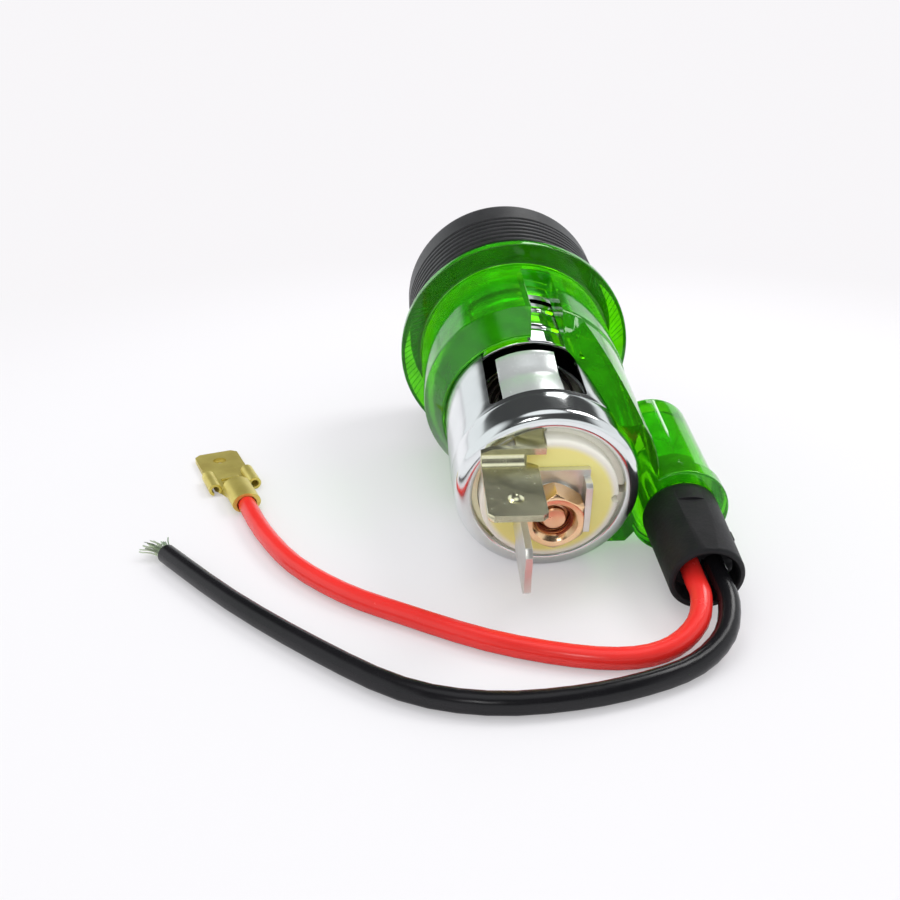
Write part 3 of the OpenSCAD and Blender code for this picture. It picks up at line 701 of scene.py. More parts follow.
def clockwise(degrees: float) -> Matrix:
    """Return a turn about the socket's axis, clockwise as seen from the rear.

    Args:
        degrees: How far.

    Returns:
        The matrix.
    """
    return Matrix.Rotation(-math.radians(degrees), 3, "Z")


class Forge:
    """Makes meshes in socket millimetres and sets them down as finished pieces."""

    def __init__(self, shop: FinishShop) -> None:
        """Keep the shop that gives the materials.

        Args:
            shop: Gives the materials.
        """
        self.shop = shop
        self.count = 0

    def draft(self, bm: BMesh, turn: float = 0.0) -> Object:
        """Turn a bmesh into a working object and free it.

        Args:
            bm: The bmesh.
            turn: Clockwise turn seen from the rear, in degrees.

        Returns:
            The object.
        """
        if turn:
            bmesh.ops.rotate(bm, verts=bm.verts, cent=(0, 0, 0), matrix=clockwise(turn))
        bmesh.ops.recalc_face_normals(bm, faces=bm.faces)
        mesh = bpy.data.meshes.new("draft")
        bm.to_mesh(mesh)
        bm.free()
        return new_object("draft", mesh)

    def lathe(self, profile: Sequence[Point2], steps: int, centre: Point2 = (0.0, 0.0)) -> Object:
        """Turn a closed outline round an axis parallel to the socket's.

        Args:
            profile: Outline as (radius, z) points.
            steps: Number of steps round the axis.
            centre: Where the axis is, as (x, y).

        Returns:
            The turned solid.
        """
        bm = bmesh.new()
        rings = []
        for k in range(steps):
            turn = 2 * math.pi * k / steps
            rings.append([bm.verts.new((centre[0] + r * math.cos(turn), centre[1] + r * math.sin(turn), z))
                          for r, z in profile])
        size = len(profile)
        for here, there in zip(rings, rings[1:] + rings[:1]):
            for i in range(size):
                j = (i + 1) % size
                if profile[i][0] > ON_AXIS or profile[j][0] > ON_AXIS:
                    bm.faces.new((here[i], here[j], there[j], there[i]))
        bmesh.ops.remove_doubles(bm, verts=bm.verts, dist=1e-5)
        bmesh.ops.dissolve_degenerate(bm, dist=1e-6, edges=bm.edges)
        return self.draft(bm)

    def rod(self, r: float, low: float, high: float, steps: int, centre: Point2 = (0.0, 0.0)) -> Object:
        """Make a plain round rod.

        Args:
            r: Its radius.
            low: Where it starts.
            high: Where it ends.
            steps: Number of steps round the axis.
            centre: Where its axis is, as (x, y).

        Returns:
            The rod.
        """
        return self.lathe([(0.0, low), (r, low), (r, high), (0.0, high)], steps, centre)

    def block(self, low: Sequence[float], high: Sequence[float], turn: float = 0.0,
              corner: float = 0.0) -> Object:
        """Make a box, with rounded edges if asked.

        Args:
            low: Lowest corner.
            high: Highest corner.
            turn: Clockwise turn seen from the rear, in degrees.
            corner: Rounding of its edges.

        Returns:
            The box.
        """
        bm = bmesh.new()
        bmesh.ops.create_cube(bm, size=1.0)
        for v in bm.verts:
            v.co = Vector((low[i] + (v.co[i] + 0.5) * (high[i] - low[i]) for i in range(3)))
        if corner > 0:
            bmesh.ops.bevel(bm, geom=list(bm.edges), offset=corner, segments=4, profile=0.5, affect="EDGES")
        return self.draft(bm, turn)

    def prism(self, outline: Sequence[Point2], low: float, high: float, plane: str = "xy",
              turn: float = 0.0) -> Object:
        """Push a flat outline out along the axis that its plane lacks.

        Args:
            outline: Its points in the plane's own order.
            low: Where it starts.
            high: Where it ends.
            plane: "xy", "yz" or "xz".
            turn: Clockwise turn seen from the rear, in degrees.

        Returns:
            The prism.
        """
        order = {"xy": (0, 1, 2), "yz": (2, 0, 1), "xz": (0, 2, 1)}[plane]
        bm = bmesh.new()
        near, far = ([bm.verts.new([(a, b, level)[i] for i in order]) for a, b in outline]
                     for level in (low, high))
        bm.faces.new(near)
        bm.faces.new(far[::-1])
        for i in range(len(outline)):
            j = (i + 1) % len(outline)
            bm.faces.new((near[i], near[j], far[j], far[i]))
        return self.draft(bm, turn)

    def baked(self, obj: Object) -> Object:
        """Replace an object's mesh by its evaluated one and drop its modifiers.

        Args:
            obj: The object.

        Returns:
            The same object.
        """
        graph = bpy.context.evaluated_depsgraph_get()
        graph.update()
        mesh = bpy.data.meshes.new_from_object(obj.evaluated_get(graph), depsgraph=graph)
        obj.modifiers.clear()
        obj.data = mesh
        return obj

    def combine(self, how: str, base: Object, *others: Object) -> Object:
        """Fuse, cut or intersect a solid with others, which are used up.

        Args:
            how: "UNION", "DIFFERENCE" or "INTERSECT".
            base: The solid that is changed.
            others: The other solids.

        Returns:
            The changed solid.
        """
        for other in others:
            mod = base.modifiers.new("boolean", "BOOLEAN")
            mod.operation = how
            mod.solver = "MANIFOLD"
            mod.object = other
            if not self.baked(base).data.polygons:
                raise RuntimeError(f"{how} left nothing of {base.name}")
            bpy.data.objects.remove(other)
        return base

    def soften(self, obj: Object, width: float, segments: int = 2, angle: float = 30.0) -> Object:
        """Round the sharp edges of a solid.

        Args:
            obj: The solid.
            width: Width of the rounding.
            segments: Steps across it.
            angle: Edges sharper than this are rounded, in degrees.

        Returns:
            The same solid.
        """
        bm = bmesh.new()
        bm.from_mesh(obj.data)
        bmesh.ops.remove_doubles(bm, verts=bm.verts, dist=1e-4)
        bmesh.ops.dissolve_limit(bm, angle_limit=math.radians(0.4), verts=bm.verts, edges=bm.edges)
        bm.to_mesh(obj.data)
        bm.free()
        mod = obj.modifiers.new("soften", "BEVEL")
        mod.width = width
        mod.segments = segments
        mod.limit_method = "ANGLE"
        mod.angle_limit = math.radians(angle)
        mod.harden_normals = False
        return self.baked(obj)

    def place(self, obj: Object, name: str, body: Body, finish: Finish, replaces: Sequence[str] = (),
              matrix: Matrix | None = None) -> Object:
        """Lay a piece in the part's frame, dress it and let it ride.

        Args:
            obj: The piece in socket millimetres.
            name: Its name.
            body: The body that carries it.
            finish: Its finish.
            replaces: The nodes that it stands for.
            matrix: Its own matrix to the part's frame, if it isn't the socket's.

        Returns:
            The same piece.
        """
        obj.name = name
        obj.data.name = name
        obj.data.transform(matrix or LAY.matrix())
        obj.data.materials.clear()
        obj.data.materials.append(self.shop.get(finish))
        obj.data.shade_smooth()
        obj.data.set_sharp_from_angle(angle=math.radians(SHARP_ANGLE))
        obj.modifiers.new("even_normals", "WEIGHTED_NORMAL").keep_sharp = True
        self.baked(obj)
        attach(obj, body.value)
        if replaces:
            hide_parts(*replaces)
        self.count += 1
        LOG.info("piece %s on %s, %d faces", name, body.value, len(obj.data.polygons))
        return obj


class NodeRecipes:
    """Geometry Nodes trees for what repeats or follows a rule."""

    COIL_STEPS = 40
    COIL_SIDES = 14
    STRAND_STEPS = 8
    STRAND_SIDES = 7

    def __init__(self, forge: Forge) -> None:
        """Start with no tree built.

        Args:
            forge: Bakes the results.
        """
        self.forge = forge
        self._made: dict[str, NodeTree] = {}

    def _tree(self, recipe: Recipe, values: dict[str, float | int]) -> NodeTree:
        """Build the tree of a recipe.

        Args:
            recipe: Adds the tree's own nodes.
            values: Values of its named inputs, which tell their kinds.

        Returns:
            The tree, which also gives its result the material that is its input Finish.
        """
        tree = bpy.data.node_groups.new(recipe.__name__, "GeometryNodeTree")
        kinds = {label: "NodeSocketInt" if isinstance(value, int) else "NodeSocketFloat"
                 for label, value in values.items()}
        for label, kind in {"Geometry": "NodeSocketGeometry", "Finish": "NodeSocketMaterial",
                            **kinds}.items():
            tree.interface.new_socket(label, in_out="INPUT", socket_type=kind)
        tree.interface.new_socket("Geometry", in_out="OUTPUT", socket_type="NodeSocketGeometry")
        graph = Graph(tree)
        given = graph.add("NodeGroupInput").outputs
        real = graph.add("GeometryNodeRealizeInstances", {"Geometry": recipe(graph, given)})
        dress = graph.add("GeometryNodeSetMaterial", {
            "Geometry": real.outputs["Geometry"], "Material": given["Finish"]})
        graph.add("NodeGroupOutput", {"Geometry": dress.outputs["Geometry"]})
        return tree

    def run(self, recipe: Recipe, obj: Object, finish: Finish, **values: float | int) -> Object:
        """Run a recipe on an object and keep the plain result.

        Args:
            recipe: The recipe, whose tree is built once.
            obj: The object.
            finish: Finish of the result.
            values: Values of the tree's named inputs.

        Returns:
            The same object with the result as its mesh.
        """
        name = recipe.__name__
        if name not in self._made:
            self._made[name] = self._tree(recipe, values)
        mod = obj.modifiers.new(name, "NODES")
        mod.node_group = self._made[name]
        fed = {"Finish": self.forge.shop.get(finish), **values}
        for item in mod.node_group.interface.items_tree:
            if item.item_type == "SOCKET" and item.in_out == "INPUT" and item.name in fed:
                mod[item.identifier] = fed[item.name]
        obj.update_tag()
        return self.forge.baked(obj)

    @staticmethod
    def blank() -> Object:
        """Return a new empty object for a recipe that makes all its geometry itself."""
        return new_object("blank", bpy.data.meshes.new("blank"))

    @staticmethod
    def _swept(graph: Graph, curve: NodeSocket, r: NodeSocket, sides: int) -> NodeSocket:
        """Add the nodes that make a curve a round wire.

        Args:
            graph: The tree's graph.
            curve: The curve.
            r: Radius of the wire.
            sides: Its sides.

        Returns:
            The wire's mesh.
        """
        ring = graph.add("GeometryNodeCurvePrimitiveCircle",
                         {"Resolution": sides, "Radius": r}).outputs["Curve"]
        return graph.add("GeometryNodeCurveToMesh", {
            "Curve": curve, "Profile Curve": ring, "Fill Caps": True}).outputs["Mesh"]

    @staticmethod
    def repeat_round_axis(graph: Graph, given: Sockets) -> NodeSocket:
        """Add the nodes that repeat a small solid round the axis, evenly.

        Args:
            graph: The tree's graph.
            given: Its inputs.

        Returns:
            The copies.
        """
        index = graph.add("GeometryNodeInputIndex").outputs["Index"]
        share = graph.math("DIVIDE", index, given["Count"])
        turn = graph.math("MULTIPLY_ADD", share, given["Sweep"], given["Start"])
        across, up = (graph.math("MULTIPLY", graph.math(wave, turn), given["Radius"])
                      for wave in ("SINE", "COSINE"))
        at = graph.add("ShaderNodeCombineXYZ", {"X": across, "Y": up}).outputs["Vector"]
        spin = graph.add("ShaderNodeCombineXYZ", {"Z": graph.math("MULTIPLY", turn, -1.0)}).outputs["Vector"]
        points = graph.add("GeometryNodePoints", {"Count": given["Count"], "Position": at}).outputs["Points"]
        return graph.add("GeometryNodeInstanceOnPoints", {
            "Points": points, "Instance": given["Geometry"], "Rotation": spin}).outputs["Instances"]

    @staticmethod
    def wound_coil(graph: Graph, given: Sockets) -> NodeSocket:
        """Add the nodes that wind a round wire into a coil along z.

        Args:
            graph: The tree's graph.
            given: Its inputs.

        Returns:
            The coil.
        """
        spiral = graph.add("GeometryNodeCurveSpiral", {
            "Resolution": NodeRecipes.COIL_STEPS, "Rotations": given["Turns"], "Height": given["Height"],
            "Start Radius": given["Radius"], "End Radius": given["Radius"]}).outputs["Curve"]
        return NodeRecipes._swept(graph, spiral, given["Wire"], NodeRecipes.COIL_SIDES)

    @staticmethod
    def fan_of_strands(graph: Graph, given: Sockets) -> NodeSocket:
        """Add the nodes that spread fine bent strands out of a point along y.

        Args:
            graph: The tree's graph.
            given: Its inputs.

        Returns:
            The strands.
        """
        lowest, highest = (graph.add("ShaderNodeVectorMath", {0: way, "Scale": given["Spread"]},
                                     operation="SCALE").outputs["Vector"]
                           for way in ((-0.12, -0.2, -1.0), (0.35, 0.2, 1.0)))
        start, turn = (graph.add("FunctionNodeRandomValue", {"Min": low, "Max": high, "Seed": given["Seed"]},
                                 data_type="FLOAT_VECTOR").outputs["Value"]
                       for low, high in (((-0.62, 0.0, -0.42), (0.62, 0.0, 0.42)), (lowest, highest)))
        size = graph.add("FunctionNodeRandomValue", {2: 0.55, 3: 1.0, "Seed": given["Seed"]},
                         data_type="FLOAT").outputs[1]
        points = graph.add("GeometryNodePoints",
                           {"Count": given["Count"], "Position": start}).outputs["Points"]
        reach = graph.add("ShaderNodeCombineXYZ", {"Y": given["Length"]}).outputs["Vector"]
        line = graph.add("GeometryNodeCurvePrimitiveLine", {
            "Start": (0.0, -0.6, 0.0), "End": reach}).outputs["Curve"]
        dense = graph.add("GeometryNodeResampleCurve", {
            "Curve": line, "Count": NodeRecipes.STRAND_STEPS}).outputs["Curve"]
        copies = graph.add("GeometryNodeInstanceOnPoints", {
            "Points": points, "Instance": dense, "Rotation": turn, "Scale": size}).outputs["Instances"]
        real = graph.add("GeometryNodeRealizeInstances", {"Geometry": copies}).outputs["Geometry"]
        noise = graph.add("ShaderNodeTexNoise", {"Scale": 0.55}).outputs["Color"]
        bend = graph.vector("MULTIPLY", graph.vector("SUBTRACT", noise, (0.5, 0.5, 0.5)), (1.0, 0.2, 0.5))
        move = graph.add("GeometryNodeSetPosition", {"Geometry": real, "Offset": bend}).outputs["Geometry"]
        return NodeRecipes._swept(graph, move, given["Wire"], NodeRecipes.STRAND_SIDES)

    def coil(self, finish: Finish, at: Matrix, **values: float) -> Object:
        """Wind a round wire into a coil.

        Args:
            finish: Its finish.
            at: Sets it in its place, from its foot at the origin.
            values: Its number of Turns, its Radius and Height, and Wire, which is half the wire's thickness.

        Returns:
            The coil.
        """
        obj = self.run(self.wound_coil, self.blank(), finish, **values)
        obj.data.transform(at)
        return obj


@dataclass
class Works:
    """What the builders of the pieces share. Their own sizes are fields, in socket millimetres and degrees.

    Attributes:
        body: The body that carries the pieces.
        forge: Makes the meshes.
        recipes: Runs the node trees.
    """

    body: ClassVar[Body] = Body.SOCKET
    forge: Forge
    recipes: NodeRecipes

    def put(self, obj: Object, name: str, finish: Finish, *nodes: str,
            matrix: Matrix | None = None) -> Object:
        """Set a piece down on the works' own body.

        Args:
            obj: The piece in socket millimetres.
            name: Its name.
            finish: Its finish.
            nodes: The nodes that it stands for.
            matrix: Its own matrix to the part's frame, if it isn't the socket's.

        Returns:
            The same piece.
        """
        return self.forge.place(obj, name, self.body, finish, nodes, matrix)

    def turned(self, name: str, finish: Finish, nodes: Sequence[str], steps: int, profile: Sequence[Point2],
               centre: Point2 = (0.0, 0.0)) -> Object:
        """Turn a piece on the lathe and set it down.

        Args:
            name: Its name.
            finish: Its finish.
            nodes: The nodes that it stands for.
            steps: Number of steps round the axis.
            profile: Outline as (radius, z) points.
            centre: Where its axis is, as (x, y).

        Returns:
            The piece.
        """
        return self.put(self.forge.lathe(profile, steps, centre), name, finish, *nodes)


@dataclass
class ShellWorks(Works):
    """Builds the steel shell with its window, dimple, shoulder and rolled lips."""

    steps: int = 176
    window_half: float = 5.7
    window_low: float = 4.6
    window_high: float = 31.1
    window_corner: float = 0.7
    dimple_height: float = 1.1
    dimple_outside: Point2 = (1.5, 11.6)
    dimple_inside: Point2 = (1.15, 11.1)

    def _profile(self) -> list[Point2]:
        """Return the closed half section of the shell."""
        wall = range(1, 23)
        line: list[Point2] = [(11.0, -1.8)] + arc(12.4, -1.5, 0.3, -90, 90, 7)
        line += arc(11.35, -0.95, 0.25, 270, 180, 5) + column(M.shell_r, -0.9, 1.45, wall)
        line += [(11.03, 31.5), (10.99, 31.75), (11.03, 32.0), (11.06, 32.3), (11.04, 33.2), (11.0, 34.2)]
        line += arc(9.55, 35.2, 1.4, 0, 90, 14) + arc(9.38, 36.12, 0.48, 92, 338, 14)
        line += arc(9.55, 35.2, 0.8, 70, 0, 8)
        line += [(10.38, 34.4), (10.46, 33.2), (M.bore_r, 31.8)] + column(M.bore_r, 31.8, -1.45, wall)
        return line + arc(10.8, -1.5, 0.3, 180, 250, 4)

    def _dimple(self, radius: float, top: float) -> Object:
        """Make the rounded button of the dimple.

        Args:
            radius: Radius of its foot.
            top: Distance of its top from the axis.

        Returns:
            The button.
        """
        height = self.dimple_height
        bm = bmesh.new()
        bmesh.ops.create_uvsphere(bm, u_segments=32, v_segments=20, radius=1.0)
        for v in bm.verts:
            v.co = Vector((v.co.x * radius, top - height + v.co.z * height, M.dimple_z + v.co.y * radius))
        return self.forge.draft(bm, M.dimple_turn)

    def build(self) -> None:
        """Build the shell."""
        forge = self.forge
        shell = forge.combine("UNION", forge.lathe(self._profile(), self.steps),
                              self._dimple(*self.dimple_outside))
        forge.combine("DIFFERENCE", shell, self._dimple(*self.dimple_inside))
        half, low, high, r = self.window_half, self.window_low, self.window_high, self.window_corner
        corners = ((half - r, high - r), (r - half, high - r), (r - half, low + r), (half - r, low + r))
        outline = [at for k, (x, z) in enumerate(corners) for at in arc(x, z, r, 90 * k, 90 * k + 90, 6)]
        forge.combine("DIFFERENCE", shell, forge.prism(outline, 4.0, 14.0, "xz", M.window_turn))
        self.put(shell, "shell_pressed", Palette.SHELL, "socket_shell")


@dataclass
class RingWorks(Works):
    """Builds the clear green ring with its sleeve, long tongue and lamp tube."""

    steps: int = 200
    slant: float = 0.176
    slant_top: float = 10.9
    tongue_low: float = -8.6
    seam_turn: float = 1.0
    seam_r: float = 0.17
    channel_half: float = 1.9
    slot_half: float = 2.1
    slot_turn: float = 9.0
    line_r: float = 15.25
    line_turn: float = -38.0

    def _sleeve(self) -> Object:
        """Make the flange and the round sleeve with its bevelled end."""
        inner = M.ring_bore_r
        line: list[Point2] = [(inner, -1.18), (12.8, -1.18), (12.8, -1.8), (15.6, -1.8), (16.05, -1.77),
                              (16.35, -1.6), (16.52, -1.42), (16.6, -1.2),
                              (16.6, -0.15), (16.55, -0.04), (16.45, 0.0), (14.0, 0.0)]
        line += arc(14.0, 0.3, 0.3, 270, 180, 4) + column(M.sleeve_r, 0.4, 1.0, range(14))
        line += [(M.sleeve_r, 13.9), (13.66, 14.05), (13.58, 14.2), (12.5, 16.2), (11.6, 17.9), (11.5, 18.05),
                 (11.4, 18.1), (inner, 18.1), (inner, 14.0), (inner, 8.0), (inner, 2.0)]
        return self.forge.lathe(line, self.steps)

    def _tongue(self) -> Object:
        """Make the long side of the sleeve, cut off along a slanting plane."""
        line = [(11.3, 13.6), (M.tongue_r, 13.6)] + column(M.tongue_r, 14.5, 1.5, range(14))
        line += [(13.42, 34.52), (13.3, M.ring_end), (M.ring_bore_r, M.ring_end)]
        line += column(M.ring_bore_r, 34.0, -1.5, range(11)) + [(M.ring_bore_r, 18.0), (11.3, 17.9)]
        low, fall = self.tongue_low, (M.ring_end - 18.1) * self.slant
        outline = [(low, 13.5), (11.7, 13.5), (self.slant_top - fall, 34.7), (low, 34.7)]
        bar = self.forge.lathe(line, self.steps)
        return self.forge.combine("INTERSECT", bar, self.forge.prism(outline, 0.0, 16.0, "yz"))

    def _tube(self) -> Object:
        """Make the outside of the lamp tube."""
        line: list[Point2] = [(0.0, 15.6)] + arc(4.5, 16.6, 1.0, -90, 0, 7)
        line += column(M.tube_r, 17.6, 1.6, range(9))
        line += arc(5.9, 31.9, 0.4, 180, 90, 4) + [(5.95, 32.32), (6.0, 32.4), (6.0, 34.3)]
        return self.forge.lathe(line + arc(5.75, 34.35, 0.25, 0, 90, 4) + [(0.0, M.ring_end)], 112, M.lamp)

    def _tube_bore(self) -> Object:
        """Make the bore of the lamp tube, with its rounded bottom and bevelled mouth."""
        line: list[Point2] = [(0.0, 18.0)] + arc(3.6, 18.6, 0.6, -90, 0, 5) + column(4.2, 19.5, 1.6, range(9))
        return self.forge.lathe(line + [(4.2, 34.3), (4.55, 34.61), (4.55, 36.0), (0.0, 36.0)], 96, M.lamp)

    def build(self) -> None:
        """Build the ring, the seam on its tube, which is painted pale as its highlight, and the fine moulded
        lines on its flange.
        """
        forge = self.forge
        tube = forge.combine("DIFFERENCE", self._tube(), forge.rod(11.215, 13.0, 36.0, self.steps))
        crest = math.radians(self.seam_turn)
        at = (M.lamp_x + M.tube_r * math.sin(crest), M.lamp_y + M.tube_r * math.cos(crest))
        self.turned("ring_tube_seam", Palette.SEAM, (), 16, [
            (0.0, 16.7), (0.12, 16.8), (self.seam_r, 17.1), (self.seam_r, 24.6), (0.0, 26.0)], at)
        ring = forge.combine("UNION", self._sleeve(), self._tongue(), tube)
        channel = forge.block((-self.channel_half, 0.0, 1.0), (self.channel_half, 11.7, 22.1), M.dimple_turn)
        slot = forge.block((-self.slot_half, 0.0, 1.8), (self.slot_half, 40.0, 40.0), self.slot_turn)
        forge.combine("DIFFERENCE", ring, channel, slot, self._tube_bore())
        self.put(ring, "ring_moulded", Palette.GREEN, "light_ring")
        for side, start, sweep, count in (("left", -1.98, 0.95, 17), ("right", 0.75, 0.75, 14)):
            rib = forge.block((-0.045, -1.15, -0.02), (0.045, 1.1, 0.07), self.line_turn, 0.02)
            self.recipes.run(self.recipes.repeat_round_axis, rib, Palette.GREEN,
                             Count=count, Radius=self.line_r, Start=start, Sweep=sweep)
            self.put(rib, f"ring_lines_{side}", Palette.GREEN)


@dataclass
class RearWorks(Works):
    """Builds what closes the rear: board, clip, stud, nut and the two blades."""

    boss_r: float = 8.1
    boss_top: float = 37.7
    seat: float = 34.98
    finger_length: float = 14.6
    finger_half: float = 3.7
    stud_r: float = 1.72
    nut_thread_r: float = 2.05
    nut_flats: float = 6.5
    blade_half: float = 3.15
    blade_bevel: float = 0.8
    blade_end: float = 48.6
    feed_low: float = 37.72
    feed_high: float = 38.5
    foot_low: float = 35.02
    foot_high: float = 35.58
    ground_dimple_r: float = 1.1

    def build(self) -> None:
        """Build every piece of the rear stack."""
        self._board()
        self._clip()
        self._stud_and_nut()
        self._feed()
        self._ground()

    def _board(self) -> None:
        """Build the board with its raised boss, its notch and the seats of the foot and the riser."""
        forge = self.forge
        low, top, hole, boss = M.disc_front, self.boss_top, M.stud_hole_r, self.boss_r
        line: list[Point2] = [(hole, low), (10.0, low), (10.13, 33.75), (10.13, 35.45), (10.0, 35.6),
                              (boss, 35.6), (boss, 36.4), (boss, 37.0)]
        line += arc(7.6, 37.2, 0.5, 0, 90, 7) + [(6.4, top), (4.4, top), (hole, top)]
        board = forge.lathe(line, 144)
        notch = forge.prism(arc(7.7, 0.0, 0.55, 90, 270, 12) + [(12.0, -0.55), (12.0, 0.55)], 33.0, 39.0)
        forge.combine("DIFFERENCE", board, notch, forge.block((-4.3, 6.8, self.seat), (-0.8, 12.0, 40.0)),
                      self._sector(8.12, 10.6, self.seat, self.seat + 2.0, -137, -4))
        self.put(board, "board_stamped", Palette.CREAM, "rear_insulator")

    def _sector(self, inner: float, outer: float, low: float, high: float, start: float,
                end: float) -> Object:
        """Make a sector of a ring between two clock angles.

        Args:
            inner: Inner radius.
            outer: Outer radius.
            low: Lowest z.
            high: Highest z.
            start: First clock angle, in degrees.
            end: Last clock angle, in degrees.

        Returns:
            The sector.
        """
        outline = arc(0, 0, outer, 90 - start, 90 - end, 60) + arc(0, 0, inner, 90 - end, 90 - start, 60)
        return self.forge.prism(outline, low, high)

    def _clip(self) -> None:
        """Build the clip with its fingers, repeated evenly, and the washer inside it."""
        forge = self.forge
        top, hole = M.disc_front, M.stud_hole_r
        tip = top - self.finger_length
        line: list[Point2] = [(3.6, top - 0.4), (3.6, top)] + arc(8.5, top - 1.2, 1.2, 90, 0, 7)
        line += [(9.72, top - 3.0)]
        line += [(r, tip + z) for r, z in (
            (9.6, 8.6), (9.24, 5.6), (9.06, 4.4), (9.1, 3.9), (9.36, 2.8), (9.84, 1.0), (9.98, 0.25),
            (9.92, 0.02),
            (9.68, 0.05), (9.46, 1.0), (8.98, 2.8), (8.7, 3.9), (8.66, 4.4), (8.86, 5.6), (9.22, 8.6))]
        line += [(9.32, top - 3.0)] + arc(8.5, top - 1.2, 0.8, 0, 90, 6)
        finger = forge.combine("INTERSECT", forge.lathe(line, 200),
                               forge.block((-self.finger_half, 0.0, tip - 1.0),
                                           (self.finger_half, 20.0, top + 1.0)))
        forge.soften(finger, 0.07, 2, 40)
        self.recipes.run(self.recipes.repeat_round_axis, finger, Palette.STRIP, Count=3, Radius=0.0,
                         Start=math.radians(M.window_turn - 2.0), Sweep=2 * math.pi)
        self.put(finger, "clip_fingers", Palette.STRIP, "bimetal_clip")
        self.turned("clip_base", Palette.STRIP, (), 96, [
            (hole, top - 0.4), (7.5, top - 0.4), (7.6, top - 0.3), (7.6, top - 0.02), (hole, top - 0.02)])
        self.turned("washer_inner", Palette.SHELL, ["clip_washer"], 72, [
            (hole, top - 1.0), (4.3, top - 1.0), (4.4, top - 0.9), (4.4, top - 0.5), (4.3, top - 0.4),
            (hole, top - 0.4)])

    def _thread(self, name: str, radius: float, wire: float, low: float, high: float, finish: Finish) -> None:
        """Wind a thread's ridge round the axis.

        Args:
            name: Name of the piece.
            radius: Radius of its middle line.
            wire: Half its thickness.
            low: Where it starts.
            high: Where it ends.
            finish: Its finish.
        """
        height = high - low
        ridge = self.recipes.coil(finish, Matrix.Translation((0, 0, low)), Turns=height / M.thread_pitch,
                                  Radius=radius, Height=height, Wire=wire)
        self.put(ridge, name, finish)

    def _stud_and_nut(self) -> None:
        """Build the riveted stud with its thread, the split washer and the nut."""
        forge = self.forge
        self.turned("stud_turned", Palette.STUD, ["centre_stud"], 64, [
            (0.0, 31.4), (2.9, 31.4), (3.15, 31.5), (3.3, 31.75), (3.3, 32.55), (self.stud_r, 32.6),
            (self.stud_r, 40.3),
            (1.62, 40.5), (1.4, 40.6), (1.4, 41.15), (1.25, 41.3), (0.9, 41.37), (0.0, 41.38)])
        self._thread("stud_thread", self.stud_r, 0.2, 38.6, 40.3, Palette.STUD)
        hole = M.stud_hole_r
        washer = forge.lathe([(hole, 38.52), (3.1, 38.52), (3.2, 38.6), (3.2, 38.9), (3.1, 38.98),
                              (hole, 38.98)], 80)
        forge.combine("DIFFERENCE", washer, forge.block((-0.25, -4.0, 38.0), (0.25, -1.0, 40.0), 12.0))
        self.put(washer, "washer_split", Palette.TINNED, "spring_washer")
        blank = forge.lathe([(0.0, 39.0), (3.12, 39.0), (3.3, 39.04), (3.86, 39.46), (3.86, 41.64),
                             (3.3, 42.02),
                             (3.1, 42.1), (0.0, 42.1)], 120)
        hexagon = forge.prism(arc(0, 0, self.nut_flats / math.sqrt(3), 90, 390, 6), 38.0, 44.0)
        forge.soften(hexagon, 0.14, 3)
        nut = forge.combine("INTERSECT", blank, hexagon)
        forge.combine("DIFFERENCE", nut, forge.lathe([
            (0.0, 38.8), (2.45, 38.8), (2.05, 39.4), (2.05, 41.4), (2.2, 41.66), (2.62, 42.12), (2.62, 43.0),
            (0.0, 43.0)], 80))
        forge.soften(nut, 0.06, 2, 25)
        self.put(nut, "nut_hex", Palette.COPPER, "terminal_nut")
        # The thread inside the nut carries painted shade.
        self._thread("nut_thread", self.nut_thread_r, 0.13, 39.5, 41.5, Palette.THREAD_SHADE)

    def _blade(self, mid: float, low: float, high: float) -> list[Point2]:
        """Return a blade's outline with bevelled corners, as (across, z) points.

        Args:
            mid: Its middle line.
            low: Where it starts.
            high: Where it ends.

        Returns:
            The outline.
        """
        half, bevel = self.blade_half, self.blade_bevel
        return [(mid - half, low), (mid + half, low), (mid + half, high - bevel), (mid + half - bevel, high),
                (mid - half + bevel, high), (mid - half, high - bevel)]

    def _feed(self) -> None:
        """Build the live terminal: plate, low wall and blade, with bent corners."""
        forge = self.forge
        low, high = self.feed_low, self.feed_high
        plate = forge.prism([(-4.1, -3.7), (4.3, -3.7), (4.3, 4.7), (-4.1, 4.7)], low, high)
        wall = forge.prism([(-2.9, high - 0.4), (3.9, high - 0.4), (3.9, 40.0), (3.5, 40.5), (-2.5, 40.5),
                            (-2.9, 40.0)], 3.5, 4.3, "yz")
        blade = forge.prism(self._blade(-2.05, low + 0.1, self.blade_end), -4.1, -3.3, "yz")
        forge.combine("DIFFERENCE", blade, forge.block((-5.0, -11.0, 36.0), (-2.0, -3.7, 40.1)))
        forge.combine("UNION", plate, wall, blade)
        forge.combine("DIFFERENCE", plate, forge.rod(M.stud_hole_r, 37.0, 39.0, 48))
        forge.soften(plate, 0.13, 3, 35)
        self.put(plate, "feed_bent_plate", Palette.TINNED, "feed_terminal")

